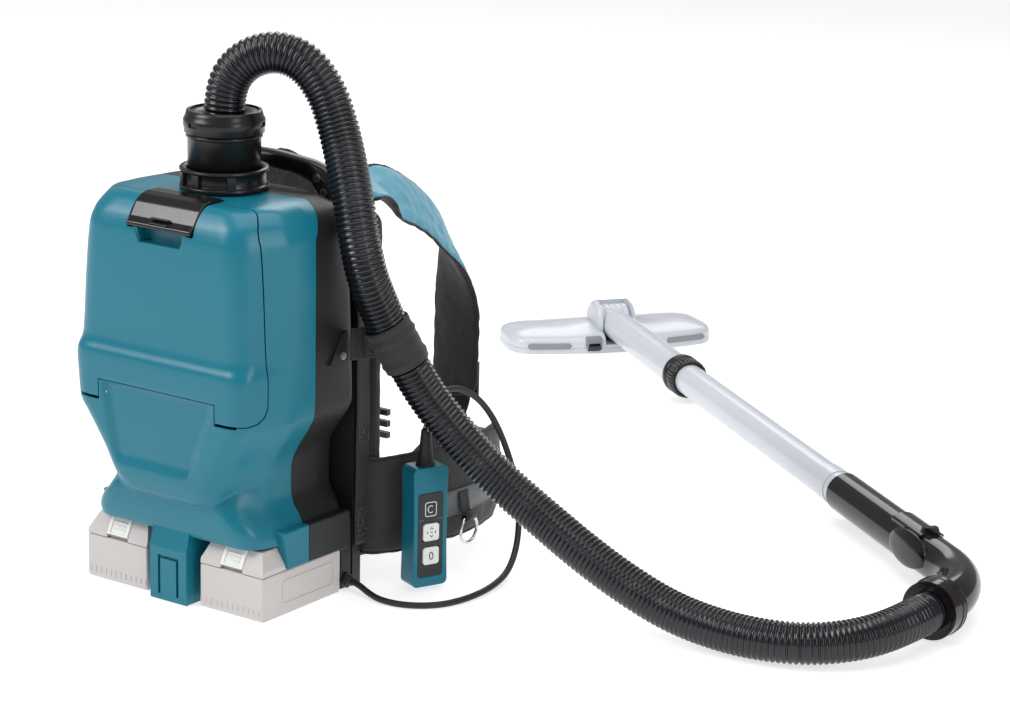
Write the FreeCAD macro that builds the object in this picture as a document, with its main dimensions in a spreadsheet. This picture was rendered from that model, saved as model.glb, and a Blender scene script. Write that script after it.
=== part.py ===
import FreeCAD, Part
import math
import os
from FreeCAD import Placement, Rotation, Vector

# Backpack vacuum cleaner, in millimetres.  +Z is up, -Y is the lid side, +Y is the wearer's side, +X is the
# wearer's right.  The origin lies on the ground under the middle of the unit.

SIZES = {
    # casing: half widths, front depths and rear depths at each level, and the heights of the levels
    "skirt_level": 66, "skirt_half": 103, "skirt_face": 92, "skirt_front": 56, "skirt_rear": 78,
    "flare_level": 78, "flare_half": 101, "flare_face": 88, "flare_front": 60, "flare_rear": 78,
    "hip_level": 106, "hip_half": 88, "hip_face": 70, "hip_front": 71, "hip_rear": 78,
    "waist_level": 140, "waist_half": 89, "waist_face": 76, "waist_front": 74, "waist_rear": 78,
    "belly_level": 188, "belly_half": 115, "belly_face": 101, "belly_front": 77, "belly_rear": 78,
    "ridge_level": 224, "ridge_half": 115, "ridge_face": 101, "ridge_front": 78, "ridge_rear": 77,
    "chest_level": 244, "chest_half": 115, "chest_face": 99, "chest_front": 73, "chest_rear": 76,
    "shoulder_level": 345, "shoulder_half": 115, "shoulder_face": 87, "shoulder_front": 71,
    "shoulder_rear": 69,
    "brim_level": 365, "brim_half": 104, "brim_face": 80, "brim_front": 62, "brim_rear": 68,
    "crown_level": 376, "crown_half": 88, "crown_face": 70, "crown_front": 50, "crown_rear": 62,
    "crease_depth": 24, "face_round": 14, "rear_chamfer": 12, "rear_step": 3,
    "case_wall": 3, "case_gap": 0.4, "split_depth": 8, "split_crown": 30,
    # lid, seal, hinge and latch
    "lid_gap": 0.6, "lid_seam": 50, "lid_seam_top": 36, "wing_level": 187, "wing_gap": 2.6,
    "tongue_half": 70, "tongue_level": 204, "tongue_gap": 1.1, "hinge_depth": 73, "hinge_level": 191.5, "hinge_radius": 2,
    "run_clearance": 0.05, "flange_depth": 45, "flange_wall": 3, "mouth_half": 88, "mouth_low": 212,
    "mouth_high": 340, "seal_wide": 6, "seal_deep": 3.2,
    "latch_half": 38, "latch_side_gap": 1, "latch_low": 350, "latch_pivot_depth": 28,
    "latch_pivot_level": 373.5, "latch_pin": 1.5, "latch_pin_length": 88, "recess_half": 29,
    "recess_low": 337,
    # centre block and batteries
    "block_half": 22, "block_front": 62, "block_rear": 57,
    "pack_inner": 32.5, "pack_wide": 74, "pack_front": 55, "pack_deep": 112, "pack_side": 43,
    "pack_high": 64,
    "pack_hump": 40, "pack_rail_half": 26, "pack_rail_top": 53, "pack_round": 5, "pack_button_wide": 26,
    "leg_front": 62, "foot_inner": 107.5,
    "foot_outer": 110,
    "foot_low": 44,
    # inlet, cuff and handle
    "inlet_depth": 18, "inlet_radius": 33.6, "inlet_flange": 41, "inlet_height": 20, "cuff_radius": 33.4,
    "cuff_wall": 2.5, "cuff_high": 446, "cuff_ring_radius": 36.5, "cuff_ring_height": 21,
    "handle_half": 86, "handle_rise": 407, "handle_bar": 22, "handle_deep": 19.5, "screw_radius": 2.6,
    # motor bay, filter and dust bag
    "motor_radius": 44, "motor_low": 76, "motor_high": 134, "motor_depth": 6, "can_wall": 3,
    "stator_radius": 33,
    "rotor_radius": 17, "shaft_radius": 4, "fan_radius": 38, "fan_height": 9, "bearing_radius": 10,
    "frame_low": 142, "frame_wall": 4, "filter_half": 60, "filter_deep": 64, "filter_height": 26,
    "bag_low": 182, "bag_high": 344, "bag_half": 82, "bag_deep": 76, "bag_plate_wall": 3,
    # harness
    "plate_front": 78, "plate_wall": 12, "plate_half": 104, "plate_high": 357, "pad_half": 112,
    "pad_deep": 30,
    "pad_low": 12, "pad_high": 366, "soft_gap": 0.4, "strap_offset": 79, "strap_wide": 64,
    "strap_thick": 13,
    "belt_low": 26, "belt_high": 124, "belt_thick": 13,
    # hand controller
    "control_x": 157, "control_y": 119, "control_low": 4, "control_high": 120, "control_wide": 37,
    "control_deep": 24, "control_turn": 67, "key_wide": 17, "key_high": 17, "key_proud": 1.2,
    # hose, cable and wand
    "hose_diameter": 38, "cable_diameter": 6, "wand_x": 362, "wand_y": 552, "wand_level": 28,
    "wand_turn": 143.2,
    "pipe_length": 466, "pipe_radius": 17.8, "pipe_wall": 1.6, "pipe_socket": 42, "grip_radius": 20.5,
    "grip_wall": 2.6, "bend_radius": 112, "bend_turn": 53.2, "grip_straight": 236, "collar_radius": 27.4,
    "collar_deep": 22, "tip_straight": 9, "lock_radius": 23, "lock_length": 31, "head_length": 262,
    "head_deep": 92, "head_high": 27, "head_reach": 730, "neck_level": 40, "barrel_radius": 20.5,
    "barrel_half": 19,
}

doc = FreeCAD.newDocument("backpack_vacuum")
sheet = doc.addObject("Spreadsheet::Sheet", "dims")
for row, (alias, value) in enumerate(SIZES.items(), start=1):
    sheet.set("A%d" % row, alias)
    sheet.set("B%d" % row, str(value))
    sheet.setAlias("B%d" % row, alias)
doc.recompute()

PIECES = []
UP = Rotation()
ALONG_X = Rotation(Vector(0, 1, 0), 90)
ALONG_Y = Rotation(Vector(1, 0, 0), -90)


def size(alias):
    """A driving dimension read back from the spreadsheet."""
    return float(sheet.get(alias))


def bind(item, prop, value):
    """Set a property to a number, or drive it with an expression over the spreadsheet's aliases."""
    if isinstance(value, str):
        item.setExpression(prop, value)
    else:
        setattr(item, prop, value)


def place(item, at, turn=UP):
    """Place an item, driving each coordinate that is given as an expression."""
    numbers = [0.0 if isinstance(part, str) else part for part in at]
    item.Placement = Placement(Vector(*numbers), turn)
    for axis, part in zip("xyz", at):
        if isinstance(part, str):
            item.setExpression("Placement.Base." + axis, part)


class Solid:
    """A PartDesign body that is built up from additive and subtractive primitives."""

    def __init__(self, label):
        self.body = doc.addObject("PartDesign::Body", label)
        self.body.Label = label
        PIECES.append(self.body)
        self.last = None

    def feature(self, kind, cut, at, turn, **properties):
        sign = "Subtractive" if cut else "Additive"
        self.last = self.body.newObject("PartDesign::" + sign + kind, self.body.Label + "_" + kind.lower())
        for prop, value in properties.items():
            bind(self.last, prop, value)
        place(self.last, at, turn)
        return self

    def box(self, length, width, height, at, cut=False, turn=UP):
        return self.feature("Box", cut, at, turn, Length=length, Width=width, Height=height)

    def rod(self, radius, height, at, cut=False, turn=UP):
        return self.feature("Cylinder", cut, at, turn, Radius=radius, Height=height)

    def cone(self, low, high, height, at, cut=False, turn=UP):
        return self.feature("Cone", cut, at, turn, Radius1=low, Radius2=high, Height=height)

    def ring(self, middle, section, at, cut=False, turn=UP):
        return self.feature("Torus", cut, at, turn, Radius1=middle, Radius2=section)

    def soften(self, radius, edges=("",)):
        """Round every edge, or the edges that are named."""
        fillet = self.body.newObject("PartDesign::Fillet", self.body.Label + "_fillet")
        fillet.Base = (self.last, list(edges))
        fillet.UseAllEdges = edges == ("",)
        bind(fillet, "Radius", radius)
        self.last = fillet
        return self

    def repeat(self, axis_role, length, count):
        """Repeat the last feature along one of the body's own axes."""
        pattern = self.body.newObject("PartDesign::LinearPattern", self.body.Label + "_pattern")
        pattern.Originals = [self.last]
        axis = [item for item in self.body.Origin.OriginFeatures if item.Role == axis_role][0]
        pattern.Direction = (axis, [""])
        bind(pattern, "Length", length)
        pattern.Occurrences = count
        self.body.Tip = pattern
        self.last = pattern
        return self

    def put(self, at, turn=UP):
        place(self.body, at, turn)
        return self


def keep(label, shape, placement=None):
    """Store a shape that has been made with Part's own functions as one sub-part."""
    item = doc.addObject("Part::Feature", label)
    item.Label = label
    item.Shape = shape
    if placement is not None:
        item.Placement = placement
    PIECES.append(item)
    return item


def block(x_low, x_high, y_low, y_high, z_low, z_high):
    return Part.makeBox(x_high - x_low, y_high - y_low, z_high - z_low, Vector(x_low, y_low, z_low))


def prism_x(points, x_low, x_high):
    """A solid with a side profile of (y, z) points, from x_low to x_high."""
    corners = [Vector(x_low, y, z) for y, z in points]
    return Part.Face(Part.makePolygon(corners + corners[:1])).extrude(Vector(x_high - x_low, 0, 0))


def disc(radius, centre, axis, length):
    return Part.makeCylinder(radius, length, centre, axis)


def mirror_x(shape):
    return shape.mirror(Vector(0, 0, 0), Vector(1, 0, 0))


def both_sides(shape):
    return [shape, mirror_x(shape)]


# ---------------------------------------------------------------- casing, lid and latch

LEVELS = ("skirt", "flare", "hip", "waist", "belly", "ridge", "chest", "shoulder", "brim", "crown")


def section(level, inset, height):
    """The casing's outline at one level, drawn in by a wall and set at a height."""
    half = size(level + "_half") - inset
    face = size(level + "_face") - inset * 0.8
    front = inset - size(level + "_front")
    rear = size(level + "_rear") - inset
    rear_half = half - size("rear_step")
    crease = Vector(half, -size("crease_depth"), height)
    corner = Vector(face, front, height)
    chamfer = size("rear_chamfer")
    reach = size("face_round") * 0.55
    side = (crease - corner).normalize() * reach
    start = corner - Vector(reach, 0, 0)
    end = corner + side
    inward = Vector(-1, 0, 0) + side.normalize()
    middle = corner + inward.normalize() * reach * 0.42
    right = [Vector(half, size("split_depth"), height), Vector(rear_half, rear - chamfer, height)]
    right += [Vector(rear_half - chamfer, rear, height)]

    def flip(point):
        return Vector(-point.x, point.y, point.z)

    edges = [Part.LineSegment(flip(start), start), Part.Arc(start, middle, end),
             Part.LineSegment(end, crease)]
    chain = [crease] + right + [flip(point) for point in reversed(right)] + [flip(crease)]
    edges += [Part.LineSegment(one, two) for one, two in zip(chain, chain[1:])]
    edges += [Part.LineSegment(flip(crease), flip(end)), Part.Arc(flip(end), flip(middle), flip(start))]
    return Part.Wire([edge.toShape() for edge in edges])


def casing_volume(inset):
    """The casing's whole outer volume, or the room inside its walls."""
    wires = []
    for level in LEVELS:
        height = size(level + "_level")
        if level == "skirt":
            height += inset
        if level == "crown":
            height -= inset
        wires.append(section(level, inset, height))
    return Part.makeLoft(wires, True, True)


def lid_zone(gap):
    """The region in front of the seam that belongs to the lid, grown by a gap."""
    seam = gap - size("lid_seam")
    seam_top = gap - size("lid_seam_top")
    brim, roof, front = size("brim_level") - 10, size("crown_level") + 20, -size("chest_front") - 30
    wing, tongue = size("wing_level"), size("tongue_level")
    drop = size("wing_gap") if gap else 0
    step = size("tongue_gap") if gap else 0
    zone = prism_x([(front, wing - drop), (seam, wing - drop), (seam, brim),
                    (seam_top, size("crown_level")),
                    (seam_top, roof), (front, roof)], -200, 200)
    half = size("tongue_half") - gap
    return zone.cut(block(-half, half, front - 1, seam + 1, wing - 20, tongue - step))


def front_zone(gap):
    """The region in front of the split between the front and the rear casing."""
    split = size("split_depth") - gap
    crown = size("split_crown") - gap
    return prism_x([(-200, -10), (split, -10), (split, size("shoulder_level")),
                    (crown, size("crown_level")),
                    (crown, 420), (-200, 420)], -200, 200)


outer = casing_volume(0)
inner = casing_volume(size("case_wall"))
shell = outer.cut(inner)
inlet_hole = disc(size("inlet_radius"), Vector(0, size("inlet_depth"), 340), Vector(0, 0, 1), 60)
latch_half = size("latch_half")
latch_gap = size("latch_side_gap")
pivot = Vector(0, -size("latch_pivot_depth"), size("latch_pivot_level"))
latch_notch = block(-latch_half - latch_gap, latch_half + latch_gap, -120, pivot.y + 5,
                    size("crown_level") - 7.5, 400)
latch_notch = latch_notch.fuse(block(-latch_half - latch_gap, latch_half + latch_gap, -120,
                                     -size("crown_front") + 1, size("latch_low") - latch_gap, 400))
hinge = Vector(0, -size("hinge_depth"), size("hinge_level"))
tongue = size("tongue_half")


def front_casing():
    front = shell.common(front_zone(size("case_gap") / 2))
    depth = size("flange_depth")
    flange = inner.common(block(-200, 200, -depth, size("flange_wall") - depth, size("wing_level") - 6,
                                size("brim_level") - 6))
    mouth = size("mouth_half")
    flange = flange.cut(block(-mouth, mouth, -100, 0, size("mouth_low"), size("mouth_high")))
    floor_of_notch = block(-latch_half - 4, latch_half + 4, -size("lid_seam_top") + 1, pivot.y + 8,
                           size("crown_level") - 10.5, size("crown_level") - 1)
    front = front.fuse([flange, floor_of_notch])
    front = front.cut(lid_zone(size("lid_gap"))).cut(latch_notch).cut(inlet_hole)
    middle = prism_x([(-size("block_front"), 0), (size("block_rear"), 0), (size("block_rear"), 62),
                      (size("split_depth") - 2, 62), (size("split_depth") - 2, 68),
                      (-size("skirt_front") + 2, 68), (-size("skirt_front") - 1.5, 72),
                      (-size("block_front"), 52)],
                     -size("block_half"), size("block_half"))
    groove = prism_x([(-90, 30), (3 - size("block_front"), 30), (3 - size("block_front"), 43), (-90, 43)],
                     -13, 13)
    foot = prism_x([(-18, size("foot_low")), (size("split_depth") - 0.2, size("foot_low")),
                    (size("split_depth") - 0.2, 72), (-26, 72)], size("foot_inner") - 0.1,
                    size("foot_outer"))
    foot = foot.fuse(prism_x([(-26, 66.2), (size("split_depth") - 0.2, 66.2),
                              (size("split_depth") - 0.2, 78),
                              (-26, 72)], 95, size("foot_outer")))
    ears = block(tongue - 9, tongue - 0.6, hinge.y - 4, hinge.y + 12, hinge.z - 4, hinge.z + 4)
    front = front.fuse([middle] + both_sides(foot) + both_sides(ears)).cut(groove)
    front = front.cut(both_sides(disc(size("hinge_radius"), hinge + Vector(tongue - 12, 0, 0),
                                      Vector(1, 0, 0), 20)))
    pin = disc(size("latch_pin"), pivot - Vector(size("latch_pin_length") / 2, 0, 0), Vector(1, 0, 0),
               size("latch_pin_length"))
    cheek = block(latch_half + latch_gap, latch_half + 7, pivot.y - 5, pivot.y + 5, size("crown_level") - 8,
                  size("crown_level") - 0.2)
    return front.fuse(both_sides(cheek)).cut(pin).removeSplitter()


BOARD_LOW = size("flare_level") - 6
BOARD_BACK = size("waist_rear") - size("case_wall") - 12.4


def rear_casing():
    back = shell.cut(front_zone(-size("case_gap") / 2)).cut(inlet_hole)
    foot = block(size("foot_inner"), size("foot_outer"), size("split_depth") + 0.2, 68, size("foot_low"),
                 79)
    foot = foot.fuse(block(90, size("foot_outer"), size("split_depth") + 0.2, 68, 67, 79))
    leg = block(-104, 104, size("leg_front"), size("skirt_rear"), 0, size("skirt_level") + 2)
    vents = [block(-50, 50, size("skirt_rear") - 20, size("skirt_rear") + 20, level, level + 5)
             for level in (112, 122, 132)]
    bosses = [disc(3, Vector(sign * 31, BOARD_BACK, level), Vector(0, 1, 0),
                   size("waist_rear") - BOARD_BACK - 2)
              for sign in (-1, 1) for level in (BOARD_LOW + 4, BOARD_LOW + 28)]
    return back.fuse(both_sides(foot) + [leg] + bosses).cut(vents).removeSplitter()


def lid():
    cover = shell.common(lid_zone(0)).cut(latch_notch)
    recess = size("recess_half")
    low = size("recess_low")
    pocket = block(-recess - 3, recess + 3, -size("shoulder_front") + 1, -56, low - 3,
                   size("latch_low") - 1.2)
    hollow = block(-recess, recess, -120, -59, low, 400)
    knuckle = block(tongue + 0.6, tongue + 9, hinge.y - 3.6, hinge.y + 3.6, size("wing_level"), hinge.z + 4)
    cover = cover.fuse([pocket] + both_sides(knuckle)).cut(hollow)
    hole = disc(size("hinge_radius") + size("run_clearance"), hinge + Vector(tongue - 12, 0, 0),
                Vector(1, 0, 0), 30)
    return cover.cut(both_sides(hole)).removeSplitter()


def latch():
    top = size("crown_level") + 2
    profile = [(pivot.y + 2, top - 6), (pivot.y + 2, top), (-48, top), (-62, top - 9),
               (-72, size("latch_low") + 3),
               (-70, size("latch_low")), (-63, size("latch_low")), (-56, top - 13), (-46, top - 6)]
    bar = prism_x(profile, -latch_half, latch_half)
    knuckle = disc(3, pivot - Vector(latch_half, 0, 0), Vector(1, 0, 0), 2 * latch_half)
    hole = disc(size("latch_pin") + size("run_clearance"), pivot - Vector(60, 0, 0), Vector(1, 0, 0), 120)
    ridges = [block(-10, 10, -71, -60, level, level + 1.2) for level in (357.5, 361.5)]
    shaped = bar.fuse(knuckle).cut(hole)
    return shaped.fuse([ridge.common(prism_x([(-74, 350), (-66.5, 350), (-60, 368), (-66, 370)], -20, 20))
                        for ridge in ridges]).removeSplitter()


keep("front_casing", front_casing())
rear_item = keep("rear_casing", rear_casing())
keep("lid", lid())
keep("latch", latch())

seal_half = "dims.mouth_half + dims.seal_wide"
Solid("lid_seal").box("2 * (%s)" % seal_half, "dims.seal_deep",
                      "dims.mouth_high - dims.mouth_low + 2 * dims.seal_wide",
                      ("-(%s)" % seal_half, "-dims.flange_depth - dims.seal_deep",
                       "dims.mouth_low - dims.seal_wide")
                      ).box("2 * dims.mouth_half", 20, "dims.mouth_high - dims.mouth_low",
                            ("-dims.mouth_half", -60, "dims.mouth_low"), cut=True)

pins = [disc(size("hinge_radius"), hinge + Vector(tongue - 8.5, 0, 0), Vector(1, 0, 0), 17)]
pins.append(mirror_x(pins[0]))
pins.append(disc(size("latch_pin"), pivot - Vector(size("latch_pin_length") / 2, 0, 0), Vector(1, 0, 0),
                 size("latch_pin_length")))
keep("hinge_pins", Part.makeCompound(pins))

# ---------------------------------------------------------------- inlet, cuff and carry handle

crown = "dims.crown_level"
Solid("inlet_collar").rod("dims.inlet_flange", 4, (0, 0, 0)).rod("dims.inlet_radius + 4",
                                                                 "dims.inlet_height", (0, 0, 0)
      ).rod("dims.inlet_flange", 3, (0, 0, "dims.inlet_height - 3")
      ).rod("dims.inlet_radius", 60, (0, 0, -10), cut=True).put((0, "dims.inlet_depth", crown))

cuff_length = "dims.cuff_high - dims.crown_level + 14"
Solid("hose_cuff").rod("dims.cuff_radius", cuff_length, (0, 0, 0)
      ).rod("dims.cuff_radius - dims.cuff_wall", 200, (0, 0, -10), cut=True
      ).rod("dims.cuff_radius", 3, (0, 0, cuff_length + " - 3")
      ).rod("dims.hose_diameter / 2", 30, (0, 0, cuff_length + " - 10"), cut=True
      ).put((0, "dims.inlet_depth", crown + " - 14"))

Solid("cuff_ring").rod("dims.cuff_ring_radius", "dims.cuff_ring_height", (0, 0, 0)
      ).rod("dims.cuff_radius", 60, (0, 0, -10), cut=True
      ).box(10, 20, 4, (-5, -45, "dims.cuff_ring_height / 2 - 2"), cut=True
      ).put((0, "dims.inlet_depth", "dims.cuff_high - dims.cuff_ring_height + 2"))


def carry_handle():
    half, rise, bar = size("handle_half"), size("handle_rise"), size("handle_bar")
    foot = size("plate_high")

    def arch(reach, top):
        spline = Part.BSplineCurve()
        points = [(-reach, foot), (-reach * 0.97, foot + (top - foot) * 0.5), (-reach * 0.75, top - 14),
                  (0, top),
                  (reach * 0.75, top - 14), (reach * 0.97, foot + (top - foot) * 0.5), (reach, foot)]
        spline.interpolate([Vector(x, 0, z) for x, z in points])
        return spline.toShape()

    outside = arch(half, rise)
    inside = arch(half - bar, rise - bar)
    sides = [Part.LineSegment(Vector(sign * (half - bar), 0, foot), Vector(sign * half, 0, foot)).toShape()
             for sign in (-1, 1)]
    wire = Part.Wire(Part.__sortEdges__([outside, inside] + sides))
    bow = Part.Face(wire).extrude(Vector(0, size("handle_deep"), 0))
    bow.translate(Vector(0, size("shoulder_rear") + 1, 0))
    return bow


handle_item = keep("carry_handle", carry_handle())

# ---------------------------------------------------------------- filter, dust bag and motor

room = "(dims.waist_half - dims.case_wall - 4)"
Solid("filter_frame").box("2 * " + room, 94, "dims.frame_wall", ("-" + room, -38, "dims.frame_low")
      ).box("2 * dims.filter_half", "dims.filter_deep", 40,
            ("-dims.filter_half", "dims.motor_depth - dims.filter_deep / 2", "dims.frame_low - 10"),
            cut=True)
Solid("pleated_filter").box("2 * dims.filter_half + 8", "dims.filter_deep + 8", "dims.filter_height",
                            (0, 0, 0)
      ).box(2, 200, "dims.filter_height - 8", (8, -20, 4), cut=True).repeat("X_Axis",
                                                                            "2 * dims.filter_half - 10", 12
      ).put(("-dims.filter_half - 4", "dims.motor_depth - dims.filter_deep / 2 - 4",
             "dims.frame_low + dims.frame_wall"))

Solid("dust_bag").box("2 * dims.bag_half", "dims.bag_deep", "dims.bag_high - dims.bag_low",
                      ("-dims.bag_half", "-dims.bag_deep / 2", 0)).soften(14
      ).rod(24, "dims.crown_level - 14.3 - dims.bag_plate_wall - dims.bag_high + 10",
            (0, "dims.inlet_depth - 6", "dims.bag_high - dims.bag_low - 10")
      ).put((0, 6, "dims.bag_low"))
Solid("bag_plate").box(110, 72, "dims.bag_plate_wall", (-55, -36, 0)).rod(22, 60, (0, 0, -10), cut=True
      ).put((0, "dims.inlet_depth", "dims.crown_level - 14.3 - dims.bag_plate_wall"))

can = "dims.motor_radius"
span = "(dims.motor_high - dims.motor_low)"
centre = (0, "dims.motor_depth", "dims.motor_low")
Solid("motor_housing").rod(can, span, (0, 0, 0)
      ).rod(can + " - dims.can_wall", span + " - 2 * dims.can_wall", (0, 0, "dims.can_wall"), cut=True
      ).rod("dims.bearing_radius", 20, (0, 0, -5), cut=True
      ).rod("dims.fan_radius * 0.6", 20, (0, 0, span + " - 8"), cut=True
      ).rod("dims.bearing_radius + 3", 6, (0, 0, "dims.can_wall")
      ).rod("dims.bearing_radius", 20, (0, 0, -5), cut=True
      ).box("2 * dims.fan_radius * 0.62", 6, "dims.can_wall",
            ("-dims.fan_radius * 0.62", -3, span + " - dims.can_wall")
      ).box(6, "2 * dims.fan_radius * 0.62", "dims.can_wall",
            (-3, "-dims.fan_radius * 0.62", span + " - dims.can_wall")
      ).rod("dims.bearing_radius + 3", 9, (0, 0, span + " - 9")
      ).rod("dims.bearing_radius", 9, (0, 0, span + " - 9.5"), cut=True
      ).rod("dims.shaft_radius + 2", 30, (0, 0, span + " - 20"), cut=True
      ).put(centre)
Solid("motor_stator").rod("dims.stator_radius", 26, (0, 0, 12)).rod("dims.rotor_radius + 1", 60, (0, 0, 0),
                                                                    cut=True
      ).box("2 * (dims.motor_radius - dims.can_wall) - 0.5", 6, 26,
            ("0.25 - (dims.motor_radius - dims.can_wall)", -3, 12)
      ).rod("dims.rotor_radius + 1", 60, (0, 0, 0), cut=True).put(centre)
Solid("motor_rotor").rod("dims.rotor_radius", 24, (0, 0, 13)).rod("dims.shaft_radius", span + " - 3",
                                                                  (0, 0, 1)
      ).put(centre)
Solid("motor_fan").rod("dims.fan_radius", 1.6, (0, 0, 0)).rod("dims.shaft_radius + 4",
                                                              "dims.fan_height - 1", (0, 0, 0)
      ).box("dims.fan_radius - 2", 1.4, "dims.fan_height - 2", (1, -0.7, 0.2))
fan = PIECES[-1]
blades = fan.newObject("PartDesign::PolarPattern", "fan_blades")
blades.Originals = [fan.Tip]
blades.Axis = ([item for item in fan.Origin.OriginFeatures if item.Role == "Z_Axis"][0], [""])
blades.Angle = 360
blades.Occurrences = 9
fan.Tip = blades
fan_bore = fan.newObject("PartDesign::SubtractiveCylinder", "fan_bore")
bind(fan_bore, "Radius", "dims.shaft_radius")
fan_bore.Height = 40
fan_bore.Placement = Placement(Vector(0, 0, -10), UP)
place(fan, (0, "dims.motor_depth", "dims.motor_high - 20"))

shaft_hole = size("shaft_radius") + size("run_clearance")
low_bearing = disc(size("bearing_radius"), Vector(0, size("motor_depth"), size("motor_low") + 2),
                   Vector(0, 0, 1), 7)
high_bearing = disc(size("bearing_radius"), Vector(0, size("motor_depth"), size("motor_high") - 9),
                    Vector(0, 0, 1), 6.5)
shaft_cut = disc(shaft_hole, Vector(0, size("motor_depth"), 0), Vector(0, 0, 1), 300)
keep("motor_bearings", Part.makeCompound([low_bearing.cut(shaft_cut), high_bearing.cut(shaft_cut)]))


def rubber_mounts():
    radius, depth = size("motor_radius"), size("motor_depth")
    low = disc(radius - 4, Vector(0, depth, size("skirt_level") + size("case_wall")), Vector(0, 0, 1),
               size("motor_low") - size("skirt_level") - size("case_wall"))
    low = low.cut(disc(radius - 12, Vector(0, depth, 0), Vector(0, 0, 1), 200))
    high = disc(radius - 4, Vector(0, depth, size("motor_high")), Vector(0, 0, 1),
                size("frame_low") - size("motor_high"))
    high = high.cut(disc(radius - 10, Vector(0, depth, 0), Vector(0, 0, 1), 400))
    return Part.makeCompound([low, high])


keep("motor_mounts", rubber_mounts())
Solid("control_board").box(70, 1.6, 42, (-35, 0, 0)).box(12, 8, 10, (-26, -8, 8)).box(16, 6, 20, (4, -6, 12)
      ).put((0, BOARD_BACK - 1.6, BOARD_LOW))
Solid("exhaust_grille").box(112, 2, 34, (-56, 0, 0)).box(5, 20, 26, (-52, -5, 4), cut=True
      ).repeat("X_Axis", 99, 12).put((0, "dims.waist_rear - dims.case_wall - 2", 107))

# ---------------------------------------------------------------- batteries


def battery(side):
    """A slide-on battery pack: tray, raised front with a sloped face, and the rail that the unit grips."""
    inner_side = size("pack_inner")
    outer_side = inner_side + size("pack_wide")
    middle = (inner_side + outer_side) / 2
    front, back = -size("pack_front"), size("pack_deep") - size("pack_front")
    high, low = size("pack_high"), 0.5
    hump = front + size("pack_hump")
    tray = block(inner_side, outer_side, front, back, low, size("pack_side"))
    raised = prism_x([(front, size("pack_side") - 1), (front + 10, high), (hump, high),
                      (hump, size("pack_side") - 1)],
                     inner_side, outer_side)
    rail_half = size("pack_rail_half")
    rail = block(middle - rail_half, middle + rail_half, hump - 1, back - 6, size("pack_side") - 1,
                 size("pack_rail_top"))
    body = tray.fuse([raised, rail]).removeSplitter()
    upright = [edge for edge in body.Edges if abs(edge.tangentAt(edge.FirstParameter).z) > 0.99
               and edge.BoundBox.ZMin < 5]
    body = body.makeFillet(size("pack_round"), upright)
    seat = block(middle - size("pack_button_wide") / 2 - 0.4, middle + size("pack_button_wide") / 2 + 0.4,
                 front - 10, front + 22, size("pack_side") - 3.5, high + 5)
    slope = prism_x([(front - 20, 20), (front + 3.6, size("pack_side") - 3.5), (front + 16.4, high + 0.1),
                     (front + 16.4, high + 10), (front - 20, high + 10)], 0, 200)
    body = body.cut(seat.common(slope))
    for gap in (-19, -11, -3, 5, 13):
        body = body.cut(block(middle + gap, middle + gap + 4, back - 30, back, size("pack_side") + 3, 80))
    return body if side > 0 else mirror_x(body)


def battery_button(side):
    inner_side = size("pack_inner")
    middle = inner_side + size("pack_wide") / 2
    front, high = -size("pack_front"), size("pack_high")
    low = size("pack_side") - 1
    profile = [(front + 3.3, low + 1), (front + 14.3, high), (front + 12, high + 1.3), (front + 7.5, high),
               (front - 1, low + 1)]
    key = prism_x(profile, middle - size("pack_button_wide") / 2, middle + size("pack_button_wide") / 2)
    return key if side > 0 else mirror_x(key)


for side, name in ((-1, "left"), (1, "right")):
    keep("battery_" + name, battery(side))
    keep("battery_button_" + name, battery_button(side))

terminals = []
for side in (-1, 1):
    middle = side * (size("pack_inner") + size("pack_wide") / 2)
    holder = block(middle - 28, middle + 28, size("split_depth") + 2, size("split_depth") + 46,
                   size("pack_rail_top") + 0.5, size("skirt_level") - 0.1)
    terminals.append(holder)
keep("battery_terminals", Part.makeCompound(terminals))

# ---------------------------------------------------------------- harness


def ribbon(points, thickness, width_axis, low, high):
    """A soft band: a smooth centre line thickened to both sides and drawn out along an axis."""
    spline = Part.BSplineCurve()
    spline.interpolate(points)
    count = 4 * len(points)
    first, last = spline.FirstParameter, spline.LastParameter
    sides = {1: [], -1: []}
    for step in range(count + 1):
        at = first + (last - first) * step / count
        normal = spline.tangent(at)[0].cross(width_axis).normalize()
        for sign in sides:
            sides[sign].append(spline.value(at) + normal * sign * thickness / 2)
    edges = []
    for sign in sides:
        rim = Part.BSplineCurve()
        rim.interpolate(sides[sign])
        edges.append(rim.toShape())
    edges += [Part.LineSegment(sides[1][end], sides[-1][end]).toShape() for end in (0, -1)]
    face = Part.Face(Part.Wire(Part.__sortEdges__(edges)))
    face.translate(width_axis * low)
    return face.extrude(width_axis * (high - low))


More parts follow.
